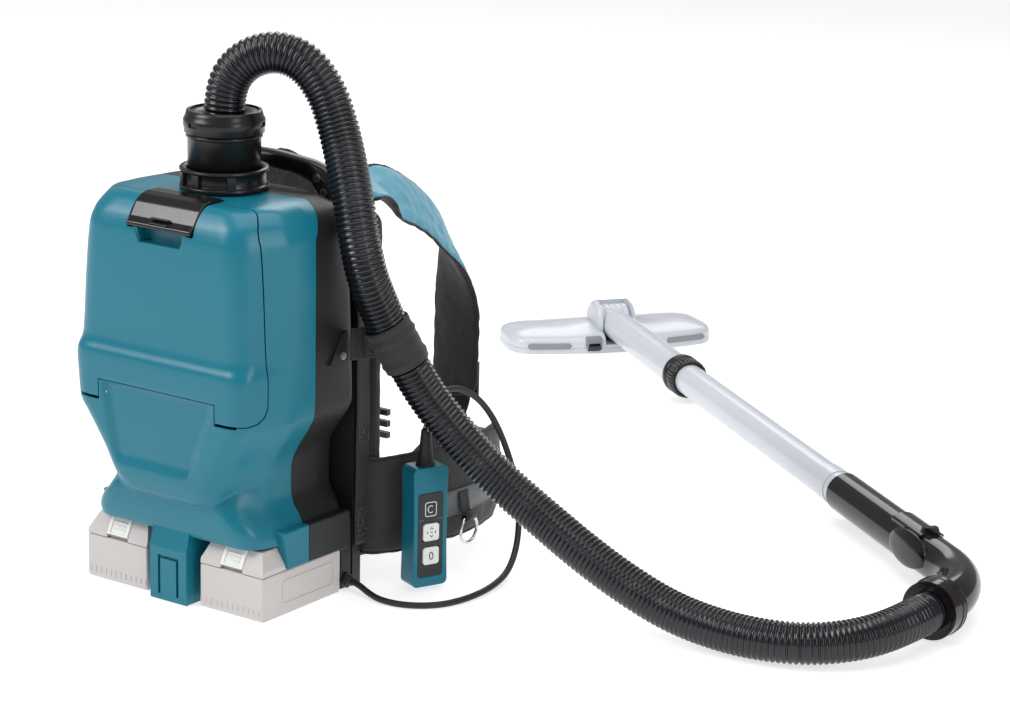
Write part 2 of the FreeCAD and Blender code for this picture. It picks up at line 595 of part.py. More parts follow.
plate_front, plate_wall = size("plate_front"), size("plate_wall")
pad_front = plate_front + plate_wall + size("soft_gap")
pad_back = pad_front + size("pad_deep")
Solid("harness_plate").box("2 * dims.plate_half", "dims.plate_wall", "dims.plate_high",
                           ("-dims.plate_half", 0, 0)
      ).rod("dims.screw_radius / 2", 40, (-84, -5, 20), cut=True, turn=ALONG_Y
      ).rod("dims.screw_radius / 2", 40, (84, -5, 20), cut=True, turn=ALONG_Y
      ).rod("dims.screw_radius / 2", 40, (-84, -5, 54), cut=True, turn=ALONG_Y
      ).rod("dims.screw_radius / 2", 40, (84, -5, 54), cut=True, turn=ALONG_Y
      ).rod("dims.screw_radius * 1.5 + 0.6", 9, (-84, "dims.plate_wall - 2", 20), cut=True, turn=ALONG_Y
      ).rod("dims.screw_radius * 1.5 + 0.6", 9, (84, "dims.plate_wall - 2", 20), cut=True, turn=ALONG_Y
      ).rod("dims.screw_radius * 1.5 + 0.6", 9, (-84, "dims.plate_wall - 2", 54), cut=True, turn=ALONG_Y
      ).rod("dims.screw_radius * 1.5 + 0.6", 9, (84, "dims.plate_wall - 2", 54), cut=True, turn=ALONG_Y
      ).put((0, "dims.plate_front", 0))
Solid("back_pad").box("2 * dims.pad_half", "dims.pad_deep", "dims.pad_high - dims.pad_low",
                      ("-dims.pad_half", 0, 0)
      ).soften(9).put((0, "dims.plate_front + dims.plate_wall + dims.soft_gap", "dims.pad_low"))

strap_line = [Vector(0, pad_back - 18, 374), Vector(0, pad_back + 16, 378), Vector(0, pad_back + 60, 362),
              Vector(0, pad_back + 98, 330), Vector(0, pad_back + 128, 290), Vector(0, pad_back + 142, 240),
              Vector(0, pad_back + 148, 190), Vector(0, pad_back + 148, 145)]
for side, name in ((-1, "left"), (1, "right")):
    near = side * size("strap_offset") - size("strap_wide") / 2
    strap = ribbon(strap_line, size("strap_thick"), Vector(1, 0, 0), near, near + size("strap_wide"))
    keep("shoulder_strap_" + name, strap)

belt_line = [Vector(118, 104, 0), Vector(130, 140, 0), Vector(138, 180, 0), Vector(139, 222, 0),
             Vector(130, 262, 0),
             Vector(114, 292, 0)]
wing = ribbon(belt_line, size("belt_thick"), Vector(0, 0, 1), size("belt_low"), size("belt_high"))
keep("waist_belt_right", wing)
keep("waist_belt_left", mirror_x(wing))

# ---------------------------------------------------------------- hose and cable


def corded(points, radius, label):
    """A tube whose path is straight runs joined by arcs that are as large as the runs allow."""
    corners = [Vector(*point) for point in points]
    edges = []
    begin = corners[0]
    radii = []
    for before, here, after in zip(corners, corners[1:], corners[2:]):
        into = (here - before).normalize()
        out = (after - here).normalize()
        turn = into.getAngle(out)
        shorter = min((here - before).Length, (after - here).Length)
        bend = 0.45 * shorter / math.tan(turn / 2)
        reach = 0.45 * shorter
        start = here - into * reach
        end = here + out * reach
        bisector = (out - into).normalize()
        middle = here + bisector * (bend / math.cos(turn / 2) - bend)
        edges.append(Part.LineSegment(begin, start).toShape())
        edges.append(Part.Arc(start, middle, end).toShape())
        radii.append(bend)
        begin = end
    edges.append(Part.LineSegment(begin, corners[-1]).toShape())
    path = Part.Wire(edges)
    start = corners[0]
    circle = Part.Wire(Part.makeCircle(radius, start, (corners[1] - start).normalize()))
    tube = path.makePipeShell([circle], True, True)
    expected = math.pi * radius ** 2 * path.Length
    print(label, "length %.0f" % path.Length, "volume ratio %.4f" % (tube.Volume / expected))
    print("   radii", " ".join("%.0f" % bend for bend in radii))
    return tube


HOSE_ROUTE = [
    (0, 18, 439), (0, 18, 468), (15, 27, 493), (40, 41, 503), (64, 54, 494), (83, 62, 468), (96, 63, 436),
    (111, 56, 407), (126, 47, 377), (136, 43, 344), (140, 49, 310), (144, 61, 282), (150, 70, 258),
    (160, 81, 230),
    (175, 97, 192), (200, 113, 155), (235, 128, 118), (275, 137, 90), (320, 138, 66), (366, 141, 44),
    (415, 145, 26), (468, 146, 20), (514, 151, 20), (550, 170, 20), (580, 204, 23), (596, 248, 28),
    (596, 297, 28),
]
CABLE_ROUTE = [
    (112, 68, 9), (121, 67, 8), (135, 62, 5), (154, 57, 3), (180, 60, 3), (204, 79, 3), (214, 112, 3),
    (214, 152, 4), (206, 190, 9), (193, 222, 32), (179, 238, 72), (169, 228, 120), (163, 206, 158),
    (159, 176, 181), (157, 145, 187), (157, 124, 172), (157, 119, 154),
]

keep("hose", corded(HOSE_ROUTE, size("hose_diameter") / 2, "hose"))
keep("switch_cable", corded(CABLE_ROUTE, size("cable_diameter") / 2, "cable"))

gland_end = CABLE_ROUTE[0]
Solid("cable_gland").rod(7, 3, (0, 0, 0), turn=ALONG_X).cone(5.4, 3.6, gland_end[0] - 107, (3, 0, 0),
                                                             turn=ALONG_X
      ).put((104, gland_end[1], gland_end[2]))

# ---------------------------------------------------------------- hand controller

facing = Rotation(Vector(0, 0, 1), size("control_turn"))
control_at = ("dims.control_x", "dims.control_y", "dims.control_low")
high = "(dims.control_high - dims.control_low)"
key_gap = 0.3
key_low = {"stop": 22, "speed": 45}
case = Solid("controller_case").box("dims.control_wide", "dims.control_deep", high,
                                    ("-dims.control_wide / 2", "-dims.control_deep / 2", 0)).soften(4.5)
case.box("dims.control_wide - 11", 10, 84,
         ("-dims.control_wide / 2 + 5.5", "-dims.control_deep / 2 - 8.8", 12), cut=True)
for low in key_low.values():
    case.box("dims.key_wide + 2 * 0.3", 20, "dims.key_high + 2 * 0.3",
             ("-dims.key_wide / 2 - 0.3", "-dims.control_deep / 2 - 15", low - key_gap), cut=True)
case.put(control_at, facing)
panel = Solid("controller_panel").box("dims.control_wide - 11.4", 1.2, 83.6,
                                      ("-dims.control_wide / 2 + 5.7", "-dims.control_deep / 2", 12.2))
for low in key_low.values():
    panel.box("dims.key_wide + 2 * 0.3", 20, "dims.key_high + 2 * 0.3",
              ("-dims.key_wide / 2 - 0.3", "-dims.control_deep / 2 - 10", low - key_gap), cut=True)
panel.put(control_at, facing)
for name, low in key_low.items():
    Solid(name + "_button").box("dims.key_wide", "dims.key_proud + 2.2", "dims.key_high",
                                ("-dims.key_wide / 2", "-dims.control_deep / 2 - dims.key_proud", low)
          ).soften(0.8).put(control_at, facing)
boot_high = CABLE_ROUTE[-1][2] - size("control_high")
Solid("controller_boot").cone(8, 4.2, boot_high, (0, 0, 0)).put(
    ("dims.control_x", "dims.control_y", "dims.control_high"))

# ---------------------------------------------------------------- hose band on the casing's side

BAND_AT = Vector(155, 75.5, 244)
band_axis = (Vector(160, 81, 230) - Vector(150, 70, 258)).normalize()
band_ring = size("hose_diameter") / 2 + 2 * size("soft_gap")
band_turn = Rotation(Vector(0, 0, 1), band_axis)
loop = disc(band_ring + 2, Vector(0, 0, -21), Vector(0, 0, 1), 42).cut(disc(band_ring, Vector(0, 0, -40),
                                                                             Vector(0, 0, 1), 80))
loop.Placement = Placement(BAND_AT, band_turn)
tail = ribbon([Vector(116.6, 55, 0), Vector(120, 66, 0), Vector(131, 81, 0), Vector(143, 92, 0)], 1.8,
              Vector(0, 0, 1),
              226, 256)
keep("hose_band", loop.fuse(tail.cut(Part.Solid(Part.makeShell(disc(band_ring + 1, Vector(0, 0, -60),
                                                                    Vector(0, 0, 1),
     120).transformed(Placement(BAND_AT, band_turn).toMatrix()).Faces)))))
side_lean = math.degrees(math.atan2(size("rear_step"), size("belly_rear") - size("rear_chamfer")
                                    - size("split_depth")))
anchor = prism_x([(20, 226), (44, 218), (50, 240), (46, 254), (36, 250)], 0.05, 2.6)
anchor_item = keep("band_anchor", anchor, Placement(Vector(size("belly_half"), size("split_depth"), 0),
                                      Rotation(Vector(0, 0, 1), side_lean)))

# ---------------------------------------------------------------- webbing, adjusters and the belt's fittings

low_end = strap_line[-1]
strap_middle = size("strap_offset")
band = 1.8
web = ribbon([Vector(0, low_end.y + 8, 196), Vector(0, low_end.y + 11, 160), Vector(0, low_end.y + 2, 122),
              Vector(0, low_end.y - 50, 92), Vector(0, low_end.y - 96, 76), Vector(0, pad_back + 1.2, 62)],
             band, Vector(1, 0, 0), strap_middle - 12, strap_middle + 12)
RING_AT = Vector(153.4, 194, 50)
loop_outer, loop_bore = 4.2, 2.7
ring_tab = block(147.2, 149.6, RING_AT.y - 8, RING_AT.y + 8, RING_AT.z - 3, RING_AT.z + 22)
ring_loop = disc(loop_outer, RING_AT - Vector(0, 4, 0), Vector(0, 1, 0), 8)
ring_tab = ring_tab.fuse(ring_loop).cut(disc(loop_bore, RING_AT - Vector(0, 20, 0), Vector(0, 1, 0), 40))
ring_tab = ring_tab.removeSplitter()
belt_tail = ribbon([Vector(113.6, 292.5, 0), Vector(103, 308, 0), Vector(88, 320, 0)], band,
                   Vector(0, 0, 1), 62, 88)
keep("strap_webbing", Part.makeCompound(both_sides(web) + [ring_tab] + both_sides(belt_tail)))


def adjuster():
    """A ladder-lock buckle: a frame with three bars that stands on the end of the shoulder strap."""
    frame = block(strap_middle - 19, strap_middle + 19, low_end.y + 12.4, low_end.y + 16.4, 138, 174)
    for low, high in ((142, 149), (153, 159), (163, 170)):
        frame = frame.cut(block(strap_middle - 13, strap_middle + 13, 0, 900, low, high))
    grip = block(strap_middle - 19, strap_middle + 19, low_end.y + 16, low_end.y + 22, 138, 141)
    return frame.fuse(grip).removeSplitter()


keep("strap_adjusters", Part.makeCompound(both_sides(adjuster())))


def stripe():
    skin = ribbon(belt_line, size("belt_thick") + 1.8, Vector(0, 0, 1), 52, 76)
    skin = skin.cut(ribbon(belt_line, size("belt_thick") + 0.3, Vector(0, 0, 1), 0, 200))
    return skin.common(block(120, 200, 150, 258, 0, 200))


keep("belt_stripes", Part.makeCompound(both_sides(stripe())))


def buckle_half(prongs):
    """One half of a side-release buckle, lying at the end of the belt's webbing."""
    shape = block(62, 87, 318.5, 328.5, 58, 92)
    shape = shape.cut(block(78, 84, 300, 340, 62, 88))
    if prongs:
        fingers = [block(44, 62, 320.5, 326.5, level, level + 6) for level in (60, 72, 84)]
        return shape.fuse(fingers).removeSplitter()
    return shape.cut(block(40, 74, 320, 327, 60.5, 89.5))


keep("belt_buckle", Part.makeCompound([buckle_half(False), mirror_x(buckle_half(True))]))

ring_half, ring_wire = 13, 1.6
ring_centre = RING_AT - Vector(0, 0, ring_half)
keep("belt_ring", Part.makeTorus(ring_half, ring_wire, ring_centre, Vector(1, 0, 0)))


# ---------------------------------------------------------------- screws


def screw(at, axis, length):
    """A pan-head screw with a cross recess, seated on a face and running into it."""
    head = disc(size("screw_radius") * 1.5, Vector(0, 0, 0), Vector(0, 0, 1), 1.8)
    shank = disc(size("screw_radius") / 2, Vector(0, 0, -length), Vector(0, 0, 1), length + 0.5)
    solid = head.fuse(shank).removeSplitter()
    solid = solid.cut([block(-2.2, 2.2, -0.4, 0.4, 1, 4), block(-0.4, 0.4, -2.2, 2.2, 1, 4)])
    solid.Placement = Placement(at, Rotation(Vector(0, 0, 1), axis))
    return solid


def drill(item, tools):
    """Make a stored piece's holes for screws, at the screws' own size."""
    item.Shape = item.Shape.cut(tools)


side_out = Vector(math.cos(math.radians(side_lean)), math.sin(math.radians(side_lean)), 0)
along_side = Vector(-side_out.y, side_out.x, 0)
anchor_face = Vector(size("belly_half"), size("split_depth"), 0) + side_out * 2.6
strap_screw = screw(anchor_face + along_side * 38 + Vector(0, 0, 232), side_out, 5.2)
handle_front = size("shoulder_rear") + 1
handle_screws = [screw(Vector(sign * across_by, handle_front, level), Vector(0, -1, 0), 10)
                 for sign in (-1, 1) for across_by, level in ((74, 373), (66, 385))]
drill(rear_item, [strap_screw])
drill(anchor_item, [strap_screw])
drill(handle_item, handle_screws)
keep("outer_screws", Part.makeCompound([strap_screw] + handle_screws))
plate_back = size("plate_front") + size("plate_wall")
seat_depth = 2
plate_screws = [screw(Vector(sign * 84, plate_back - seat_depth, level), Vector(0, 1, 0), 22)
                for sign in (-1, 1) for level in (20, 54)]
shanks = [disc(size("screw_radius") / 2, Vector(sign * 84, plate_back - 24, level), Vector(0, 1, 0), 40)
          for sign in (-1, 1) for level in (20, 54)]
drill(rear_item, shanks)
keep("casing_screws", Part.makeCompound(plate_screws))

# ---------------------------------------------------------------- wand: bent pipe, pipe and floor nozzle

wand_turn = Rotation(Vector(0, 0, 1), size("wand_turn"))
wand_place = Placement(Vector(size("wand_x"), size("wand_y"), size("wand_level")), wand_turn)
wand_at = ("dims.wand_x", "dims.wand_y", "dims.wand_level")
bend = math.radians(size("bend_turn"))


def grip_path(extra=0.0):
    """The bent pipe's middle line in the wand's own frame, from the pipe end to the hose end."""
    straight, radius = size("grip_straight"), size("bend_radius")
    start = Vector(-straight, 0, 0)
    centre_of_bend = start + Vector(0, radius, 0)

    def on_bend(angle):
        return centre_of_bend + Vector(-radius * math.sin(angle), -radius * math.cos(angle), 0)

    end = on_bend(bend)
    heading = Vector(-math.cos(bend), math.sin(bend), 0)
    tip = end + heading * (size("tip_straight") + extra)
    edges = [Part.LineSegment(Vector(extra, 0, 0), start), Part.Arc(start, on_bend(bend / 2), end),
             Part.LineSegment(end, tip)]
    return Part.Wire([edge.toShape() for edge in edges]), end + heading * size("tip_straight"), heading


def bent_pipe():
    path, tip, heading = grip_path()
    through, _, _ = grip_path(5)
    solid = path.makePipeShell([Part.Wire(Part.makeCircle(size("grip_radius"), Vector(0, 0, 0),
                                                          Vector(-1, 0, 0)))],
                               True, True)
    bore = through.makePipeShell([Part.Wire(Part.makeCircle(size("grip_radius") - size("grip_wall"),
                                                            Vector(5, 0, 0),
                                                            Vector(-1, 0, 0)))], True, True)
    collar = disc(size("collar_radius"), tip, heading, size("collar_deep"))
    cup = disc(size("collar_radius") - 3, tip + heading * 4, heading, size("collar_deep"))
    mouth = disc(size("grip_radius") - size("grip_wall"), tip - heading, heading, 10)
    port = block(-190, -160, -6, 6, size("grip_radius") - 8, size("grip_radius") + 8)
    socket = disc(size("pipe_radius"), Vector(-size("pipe_socket"), 0, 0), Vector(1, 0, 0), 80)
    return solid.fuse(collar).cut([bore, cup, mouth, port, socket]).removeSplitter()


keep("bent_pipe", bent_pipe(), wand_place)
_, grip_tip, grip_heading = grip_path()
swivel_start = grip_tip + grip_heading * 4.2
cuff_length = size("collar_deep") - 2
swivel_cuff = disc(size("collar_radius") - 3 - size("run_clearance"), swivel_start, grip_heading,
                   cuff_length)
swivel_cuff = swivel_cuff.cut(disc(size("hose_diameter") / 2 - 4, grip_tip, grip_heading, 60))
hose_tip = wand_place.inverse().multVec(Vector(*HOSE_ROUTE[-1]))
swivel_cuff = swivel_cuff.cut(disc(size("hose_diameter") / 2, hose_tip, grip_heading, 60))
keep("hose_end_cuff", swivel_cuff, wand_place)


def air_slide():
    """The curved shutter that rides on top of the bent pipe and covers its air port."""
    inside, thick = size("grip_radius") + 0.3, 2.2
    sleeve = disc(inside + thick, Vector(-200, 0, 0), Vector(1, 0, 0), 62)
    sleeve = sleeve.cut(disc(inside, Vector(-240, 0, 0), Vector(1, 0, 0), 200))
    sleeve = sleeve.common(block(-300, 0, -13, 13, 0, 60))
    thumb = prism_x([(-9, inside + 0.6), (9, inside + 0.6), (7, inside + 6), (-7, inside + 6)], -200, -194)
    return sleeve.fuse(thumb).removeSplitter()


keep("air_slide", air_slide(), wand_place)

Solid("straight_pipe").rod("dims.pipe_radius", "dims.pipe_length + dims.pipe_socket",
                           ("-dims.pipe_socket", 0, 0),
                           turn=ALONG_X
      ).rod("dims.pipe_radius + 0.9", 26, (14, 0, 0), turn=ALONG_X
      ).rod("dims.pipe_radius - dims.pipe_wall", 900, (-100, 0, 0), cut=True, turn=ALONG_X).put(wand_at,
                                                                                                wand_turn)
Solid("lock_ring").rod("dims.lock_radius", "dims.lock_length",
                       ("dims.pipe_length - dims.lock_length", 0, 0),
                       turn=ALONG_X
      ).rod("dims.pipe_radius", 90, ("dims.pipe_length - dims.lock_length - 20", 0, 0), cut=True,
            turn=ALONG_X
      ).put(wand_at, wand_turn)

neck_start = size("pipe_length") + 0.4
head_x = size("head_reach")
dome = Vector(head_x - 24, 0, size("neck_level") - size("wand_level") - 9)


def across(radius, half, centre_point):
    """A barrel that lies across the head."""
    return disc(radius, centre_point - Vector(0, half, 0), Vector(0, 1, 0), 2 * half)


def nozzle_neck():
    """The tube between pipe and head: a plug in the pipe, a sloping tube and a barrel to tilt on."""
    inside = size("pipe_radius") - size("pipe_wall") - size("run_clearance")
    barrel, barrel_half = size("barrel_radius"), size("barrel_half")
    plug = disc(inside, Vector(neck_start - 34, 0, 0), Vector(1, 0, 0), 40)
    collar = disc(size("pipe_radius") + 1.5, Vector(neck_start, 0, 0), Vector(1, 0, 0), 12)
    run = Vector(dome.x - neck_start - 6, 0, dome.z)
    tube = Part.makeCone(size("pipe_radius") + 0.6, barrel_half - 2, run.Length,
                         Vector(neck_start + 6, 0, 0), run)
    solid = plug.fuse([collar, tube, across(barrel, barrel_half, dome)])
    bore = disc(inside - 2, Vector(neck_start - 60, 0, 0), Vector(1, 0, 0), 70)
    bore_run = Part.makeCone(inside - 2.6, inside - 2, run.Length, Vector(neck_start + 6, 0, 0), run)
    return solid.cut([bore, bore_run, across(barrel - 3, barrel_half - 3, dome)])


keep("nozzle_neck", nozzle_neck(), wand_place)


def nozzle_head():
    """The floor head: a long flat shell, thickest in the middle, with a suction slot along its underside."""
    half, deep, high = size("head_length") / 2, size("head_deep") / 2, size("head_high")
    base = 0.4 - size("wand_level")

    def plan(grow, rear_grow, level):
        points = [(head_x - deep - rear_grow, -half + 12 - grow), (head_x - deep - rear_grow - 16, -30),
                  (head_x - deep - rear_grow - 16, 30), (head_x - deep - rear_grow, half - 12 + grow),
                  (head_x - deep + 10, half + grow), (head_x + deep - 10 + grow, half - 3 + grow),
                  (head_x + deep + grow, half - 14), (head_x + deep + grow, 14 - half),
                  (head_x + deep - 10 + grow, 3 - half - grow), (head_x - deep + 10, -half - grow)]
        corners = [Vector(x, y, base + level) for x, y in points]
        return Part.makePolygon(corners + corners[:1])

    shell_part = Part.makeLoft([plan(0, 0, 0), plan(0, 0, high * 0.55), plan(-7, -9, high)], True, True)
    barrel, barrel_half = size("barrel_radius"), size("barrel_half")
    hump = across(barrel + 6, barrel_half + 6, dome).common(block(0, 2000, -60, 60, base + 4, 80))
    body = shell_part.fuse(hump)
    room = across(barrel + 0.3, barrel_half + 0.4, dome)
    trough = block(dome.x - 80, dome.x + 14, -barrel_half - 0.4, barrel_half + 0.4, dome.z - barrel, 60)
    slot = block(head_x - 13, head_x + 13, -half + 16, half - 16, base - 1, base + 12)
    duct = block(dome.x - 10, head_x - 5, -14, 14, base - 1, dome.z - 6)
    lever_room = block(head_x - deep - 40, head_x - deep - 4, 26.5, 41.5, base + 3, base + 13)
    brush_room = block(head_x + 15, head_x + 22, -half + 18, half - 18, base - 1, base + 13)
    return body.cut([room, trough, slot, duct, lever_room, brush_room])


keep("nozzle_head", nozzle_head(), wand_place)


def nozzle_bumpers():
    half, deep = size("head_length") / 2, size("head_deep") / 2
    base = 0.4 - size("wand_level")
    strips = []
    for sign in (-1, 1):
        start = Vector(head_x - deep, sign * (half - 12), base + 5)
        end = Vector(head_x - deep - 16, sign * 30, base + 5)
        line = start + (end - start) * 0.06
        stop = start + (end - start) * 0.62
        out = Vector(0, 0, 1).cross(end - start).normalize() * 1.6 * sign
        if out.x > 0:
            out = out * -1
        corners = [line, stop, stop + out, line + out]
        strips.append(Part.Face(Part.makePolygon(corners + corners[:1])).extrude(Vector(0, 0, 7)))
    return Part.makeCompound(strips)


keep("nozzle_bumpers", nozzle_bumpers(), wand_place)
half_brush = size("head_length") / 2 - 18.4
brush_low = 0.8 - size("wand_level")
keep("brush_strip", block(head_x + 15.4, head_x + 21.6, -half_brush, half_brush, brush_low, brush_low + 7),
     wand_place)
lever_x = head_x - size("head_deep") / 2 - 12
lever = disc(4.2, Vector(lever_x, 27, 8.4 - size("wand_level")), Vector(0, 1, 0), 14)
lever = lever.fuse(block(lever_x - 10, lever_x, 27, 41, 6 - size("wand_level"), 10.8 - size("wand_level")))
keep("brush_lever", lever.removeSplitter(), wand_place)


# ---------------------------------------------------------------- check and export

doc.recompute()
bad = []
for item in doc.Objects:
    if "Invalid" in item.State or "Error" in item.State:
        bad.append("%s is %s" % (item.Label, item.State))
for item in PIECES:
    if item.Shape.isNull() or not item.Shape.isValid() or not item.Shape.Solids:
        bad.append("%s has no valid shape" % item.Label)
if bad:
    raise RuntimeError("; ".join(bad))
os.makedirs("parts", exist_ok=True)
for item in PIECES:
    item.Shape.exportStep("parts/%s.step" % item.Label)
print(len(PIECES), "sub-parts written")
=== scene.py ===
"""Backpack vacuum cleaner: the looks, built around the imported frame.  All lengths are in metres."""
import math

import bmesh
import bpy
import numpy as np
from mathutils import Matrix, Vector, noise


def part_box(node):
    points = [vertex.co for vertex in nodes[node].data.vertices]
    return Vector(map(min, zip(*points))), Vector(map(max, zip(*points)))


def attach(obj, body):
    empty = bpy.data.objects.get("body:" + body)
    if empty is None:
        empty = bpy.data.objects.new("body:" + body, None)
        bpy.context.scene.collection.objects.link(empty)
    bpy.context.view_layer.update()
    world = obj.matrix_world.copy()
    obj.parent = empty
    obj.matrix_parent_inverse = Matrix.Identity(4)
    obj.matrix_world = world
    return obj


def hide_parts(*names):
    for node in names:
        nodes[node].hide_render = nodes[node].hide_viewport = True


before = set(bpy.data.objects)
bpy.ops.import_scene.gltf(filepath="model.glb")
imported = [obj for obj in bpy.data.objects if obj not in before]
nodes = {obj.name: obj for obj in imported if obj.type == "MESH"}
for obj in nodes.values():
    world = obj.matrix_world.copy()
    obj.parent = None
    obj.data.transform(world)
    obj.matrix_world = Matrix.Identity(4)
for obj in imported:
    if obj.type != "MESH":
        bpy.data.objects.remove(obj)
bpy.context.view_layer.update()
scene = bpy.context.scene
MM = 0.001

# ------------------------------------------------------------------ camera, floor and light

CAMERA_AZIMUTH = 35.2907
CAMERA_ELEVATION = 15.0
CAMERA_ROLL = 1.3
CAMERA_DISTANCE = 2.7579
CAMERA_SLIDE = (0.2692, 0.0395)
CAMERA_TARGET = Vector((0, 0, 0.18))
CAMERA_LENS = 106.93
WORLD_LIGHT = 0.34
FLOOR_HALF = 18
FLOOR_LEVEL = -0.0004


def aim_camera():
    azimuth, elevation = math.radians(CAMERA_AZIMUTH), math.radians(CAMERA_ELEVATION)
    back = Vector((math.sin(azimuth) * math.cos(elevation), -math.cos(azimuth) * math.cos(elevation),
                   math.sin(elevation)))
    level = Vector((math.cos(azimuth), math.sin(azimuth), 0))
    upright = back.cross(level)
    roll = math.radians(CAMERA_ROLL)
    right = level * math.cos(roll) + upright * math.sin(roll)
    up = upright * math.cos(roll) - level * math.sin(roll)
    spot = CAMERA_TARGET + back * CAMERA_DISTANCE + right * CAMERA_SLIDE[0] + up * CAMERA_SLIDE[1]
    data = bpy.data.cameras.new("camera")
    data.lens = CAMERA_LENS
    data.sensor_width = 36
    data.clip_end = 40
    holder = bpy.data.objects.new("camera", data)
    scene.collection.objects.link(holder)
    holder.matrix_world = Matrix(((right.x, up.x, back.x, spot.x), (right.y, up.y, back.y, spot.y),
                                  (right.z, up.z, back.z, spot.z), (0, 0, 0, 1)))
    scene.camera = holder


def area_light(name, spot, target, wide, high, power):
    data = bpy.data.lights.new(name, "AREA")
    data.shape = "RECTANGLE"
    data.size, data.size_y = wide, high
    data.energy = power
    holder = bpy.data.objects.new(name, data)
    holder.location = spot
    holder.rotation_euler = (Vector(target) - Vector(spot)).to_track_quat("-Z", "Y").to_euler()
    scene.collection.objects.link(holder)


aim_camera()
scene.view_settings.view_transform = "Standard"
area_light("key_light", (-1.6, -1.9, 2.3), (0, 0, 0.2), 1.5, 1.5, 58)
area_light("top_light", (0.3, 0.3, 2.6), (0.2, 0.2, 0), 2.2, 2.2, 36)
area_light("side_light", (2.6, -0.6, 1.3), (0.2, 0.2, 0.2), 0.7, 1.8, 18)
area_light("back_light", (-1.0, 2.6, 1.8), (0, 0.3, 0.2), 2.0, 1.2, 20)
world = bpy.data.worlds.new("studio")
scene.world = world
world.use_nodes = True
world.node_tree.nodes["Background"].inputs["Color"].default_value = (1, 1, 1, 1)
world.node_tree.nodes["Background"].inputs["Strength"].default_value = WORLD_LIGHT


# ------------------------------------------------------------------ materials


class Shader:
    """A node material: a Principled shader with helpers for the textures that feed it."""

    def __init__(self, name, **sockets):
        self.material = bpy.data.materials.new(name)
        self.material.use_nodes = True
        self.tree = self.material.node_tree
        self.shader = self.tree.nodes["Principled BSDF"]
        for socket, value in sockets.items():
            self.shader.inputs[socket.replace("_", " ")].default_value = value
        self.height = None
        self.place = self.node("ShaderNodeTexCoord").outputs["Object"]

    def node(self, kind, **settings):
        made = self.tree.nodes.new(kind)
        for key, value in settings.items():
            setattr(made, key, value)
        return made

    def link(self, source, target):
        self.tree.links.new(source, target)

    def noise(self, scale, detail=4.0, stretch=(1, 1, 1), rough=0.6):
        mapping = self.node("ShaderNodeMapping")
        mapping.inputs["Scale"].default_value = stretch
        self.link(self.place, mapping.inputs["Vector"])
        texture = self.node("ShaderNodeTexNoise")
        texture.inputs["Scale"].default_value = scale
        texture.inputs["Detail"].default_value = detail
        texture.inputs["Roughness"].default_value = rough
        self.link(mapping.outputs["Vector"], texture.inputs["Vector"])
        return texture.outputs["Fac"]

    def waves(self, scale, distortion, flip=(1, 1, 1)):
        """Diagonal bands, like one set of threads."""
        mapping = self.node("ShaderNodeMapping")
        mapping.inputs["Scale"].default_value = flip
        self.link(self.place, mapping.inputs["Vector"])
        texture = self.node("ShaderNodeTexWave", wave_type="BANDS", bands_direction="DIAGONAL")
        texture.inputs["Scale"].default_value = scale
        texture.inputs["Distortion"].default_value = distortion
        texture.inputs["Detail Scale"].default_value = 3.0
        self.link(mapping.outputs["Vector"], texture.inputs["Vector"])
        return texture.outputs["Fac"]

    def math(self, operation, first, second):
        made = self.node("ShaderNodeMath", operation=operation)
        for socket, value in zip(made.inputs, (first, second)):
            if isinstance(value, (int, float)):
                socket.default_value = value
            else:
                self.link(value, socket)
        return made.outputs[0]

    def colours(self, factor, stops):
        ramp = self.node("ShaderNodeValToRGB")
        ramp.color_ramp.elements[0].position = stops[0][0]
        ramp.color_ramp.elements[0].color = (*stops[0][1], 1)
        ramp.color_ramp.elements[1].position = stops[-1][0]
        ramp.color_ramp.elements[1].color = (*stops[-1][1], 1)
        for position, colour in stops[1:-1]:
            element = ramp.color_ramp.elements.new(position)
            element.color = (*colour, 1)
        self.link(factor, ramp.inputs["Fac"])
        self.link(ramp.outputs["Color"], self.shader.inputs["Base Color"])

    def roughness(self, factor, low, high):
        span = self.node("ShaderNodeMapRange")
        span.inputs["To Min"].default_value = low
        span.inputs["To Max"].default_value = high
        self.link(factor, span.inputs["Value"])
        self.link(span.outputs["Result"], self.shader.inputs["Roughness"])

    def bump(self, height, strength, distance):
        made = self.node("ShaderNodeBump")
        made.inputs["Strength"].default_value = strength
        made.inputs["Distance"].default_value = distance
        self.link(height, made.inputs["Height"])
        if self.height is not None:
            self.link(self.height, made.inputs["Normal"])
        self.height = made.outputs["Normal"]
        self.link(self.height, self.shader.inputs["Normal"])


def tint(colour, factor):
    return tuple(min(1.0, channel * factor) for channel in colour)


def plastic(name, colour, rough=(0.3, 0.4), grain=0.12, mottle=0.07, grain_scale=1400, **sockets):
    """Moulded plastic: a slight mottle, uneven gloss and a fine spark-eroded grain."""
    made = Shader(name, **sockets)
    made.colours(made.noise(7, 5), [(0.3, tint(colour, 1 - mottle)), (0.7, tint(colour, 1 + mottle))])
    made.roughness(made.noise(38, 6), *rough)
    made.bump(made.noise(grain_scale, 2), grain, 0.0002)
    made.bump(made.noise(16, 2), 0.05, 0.002)
    return made.material


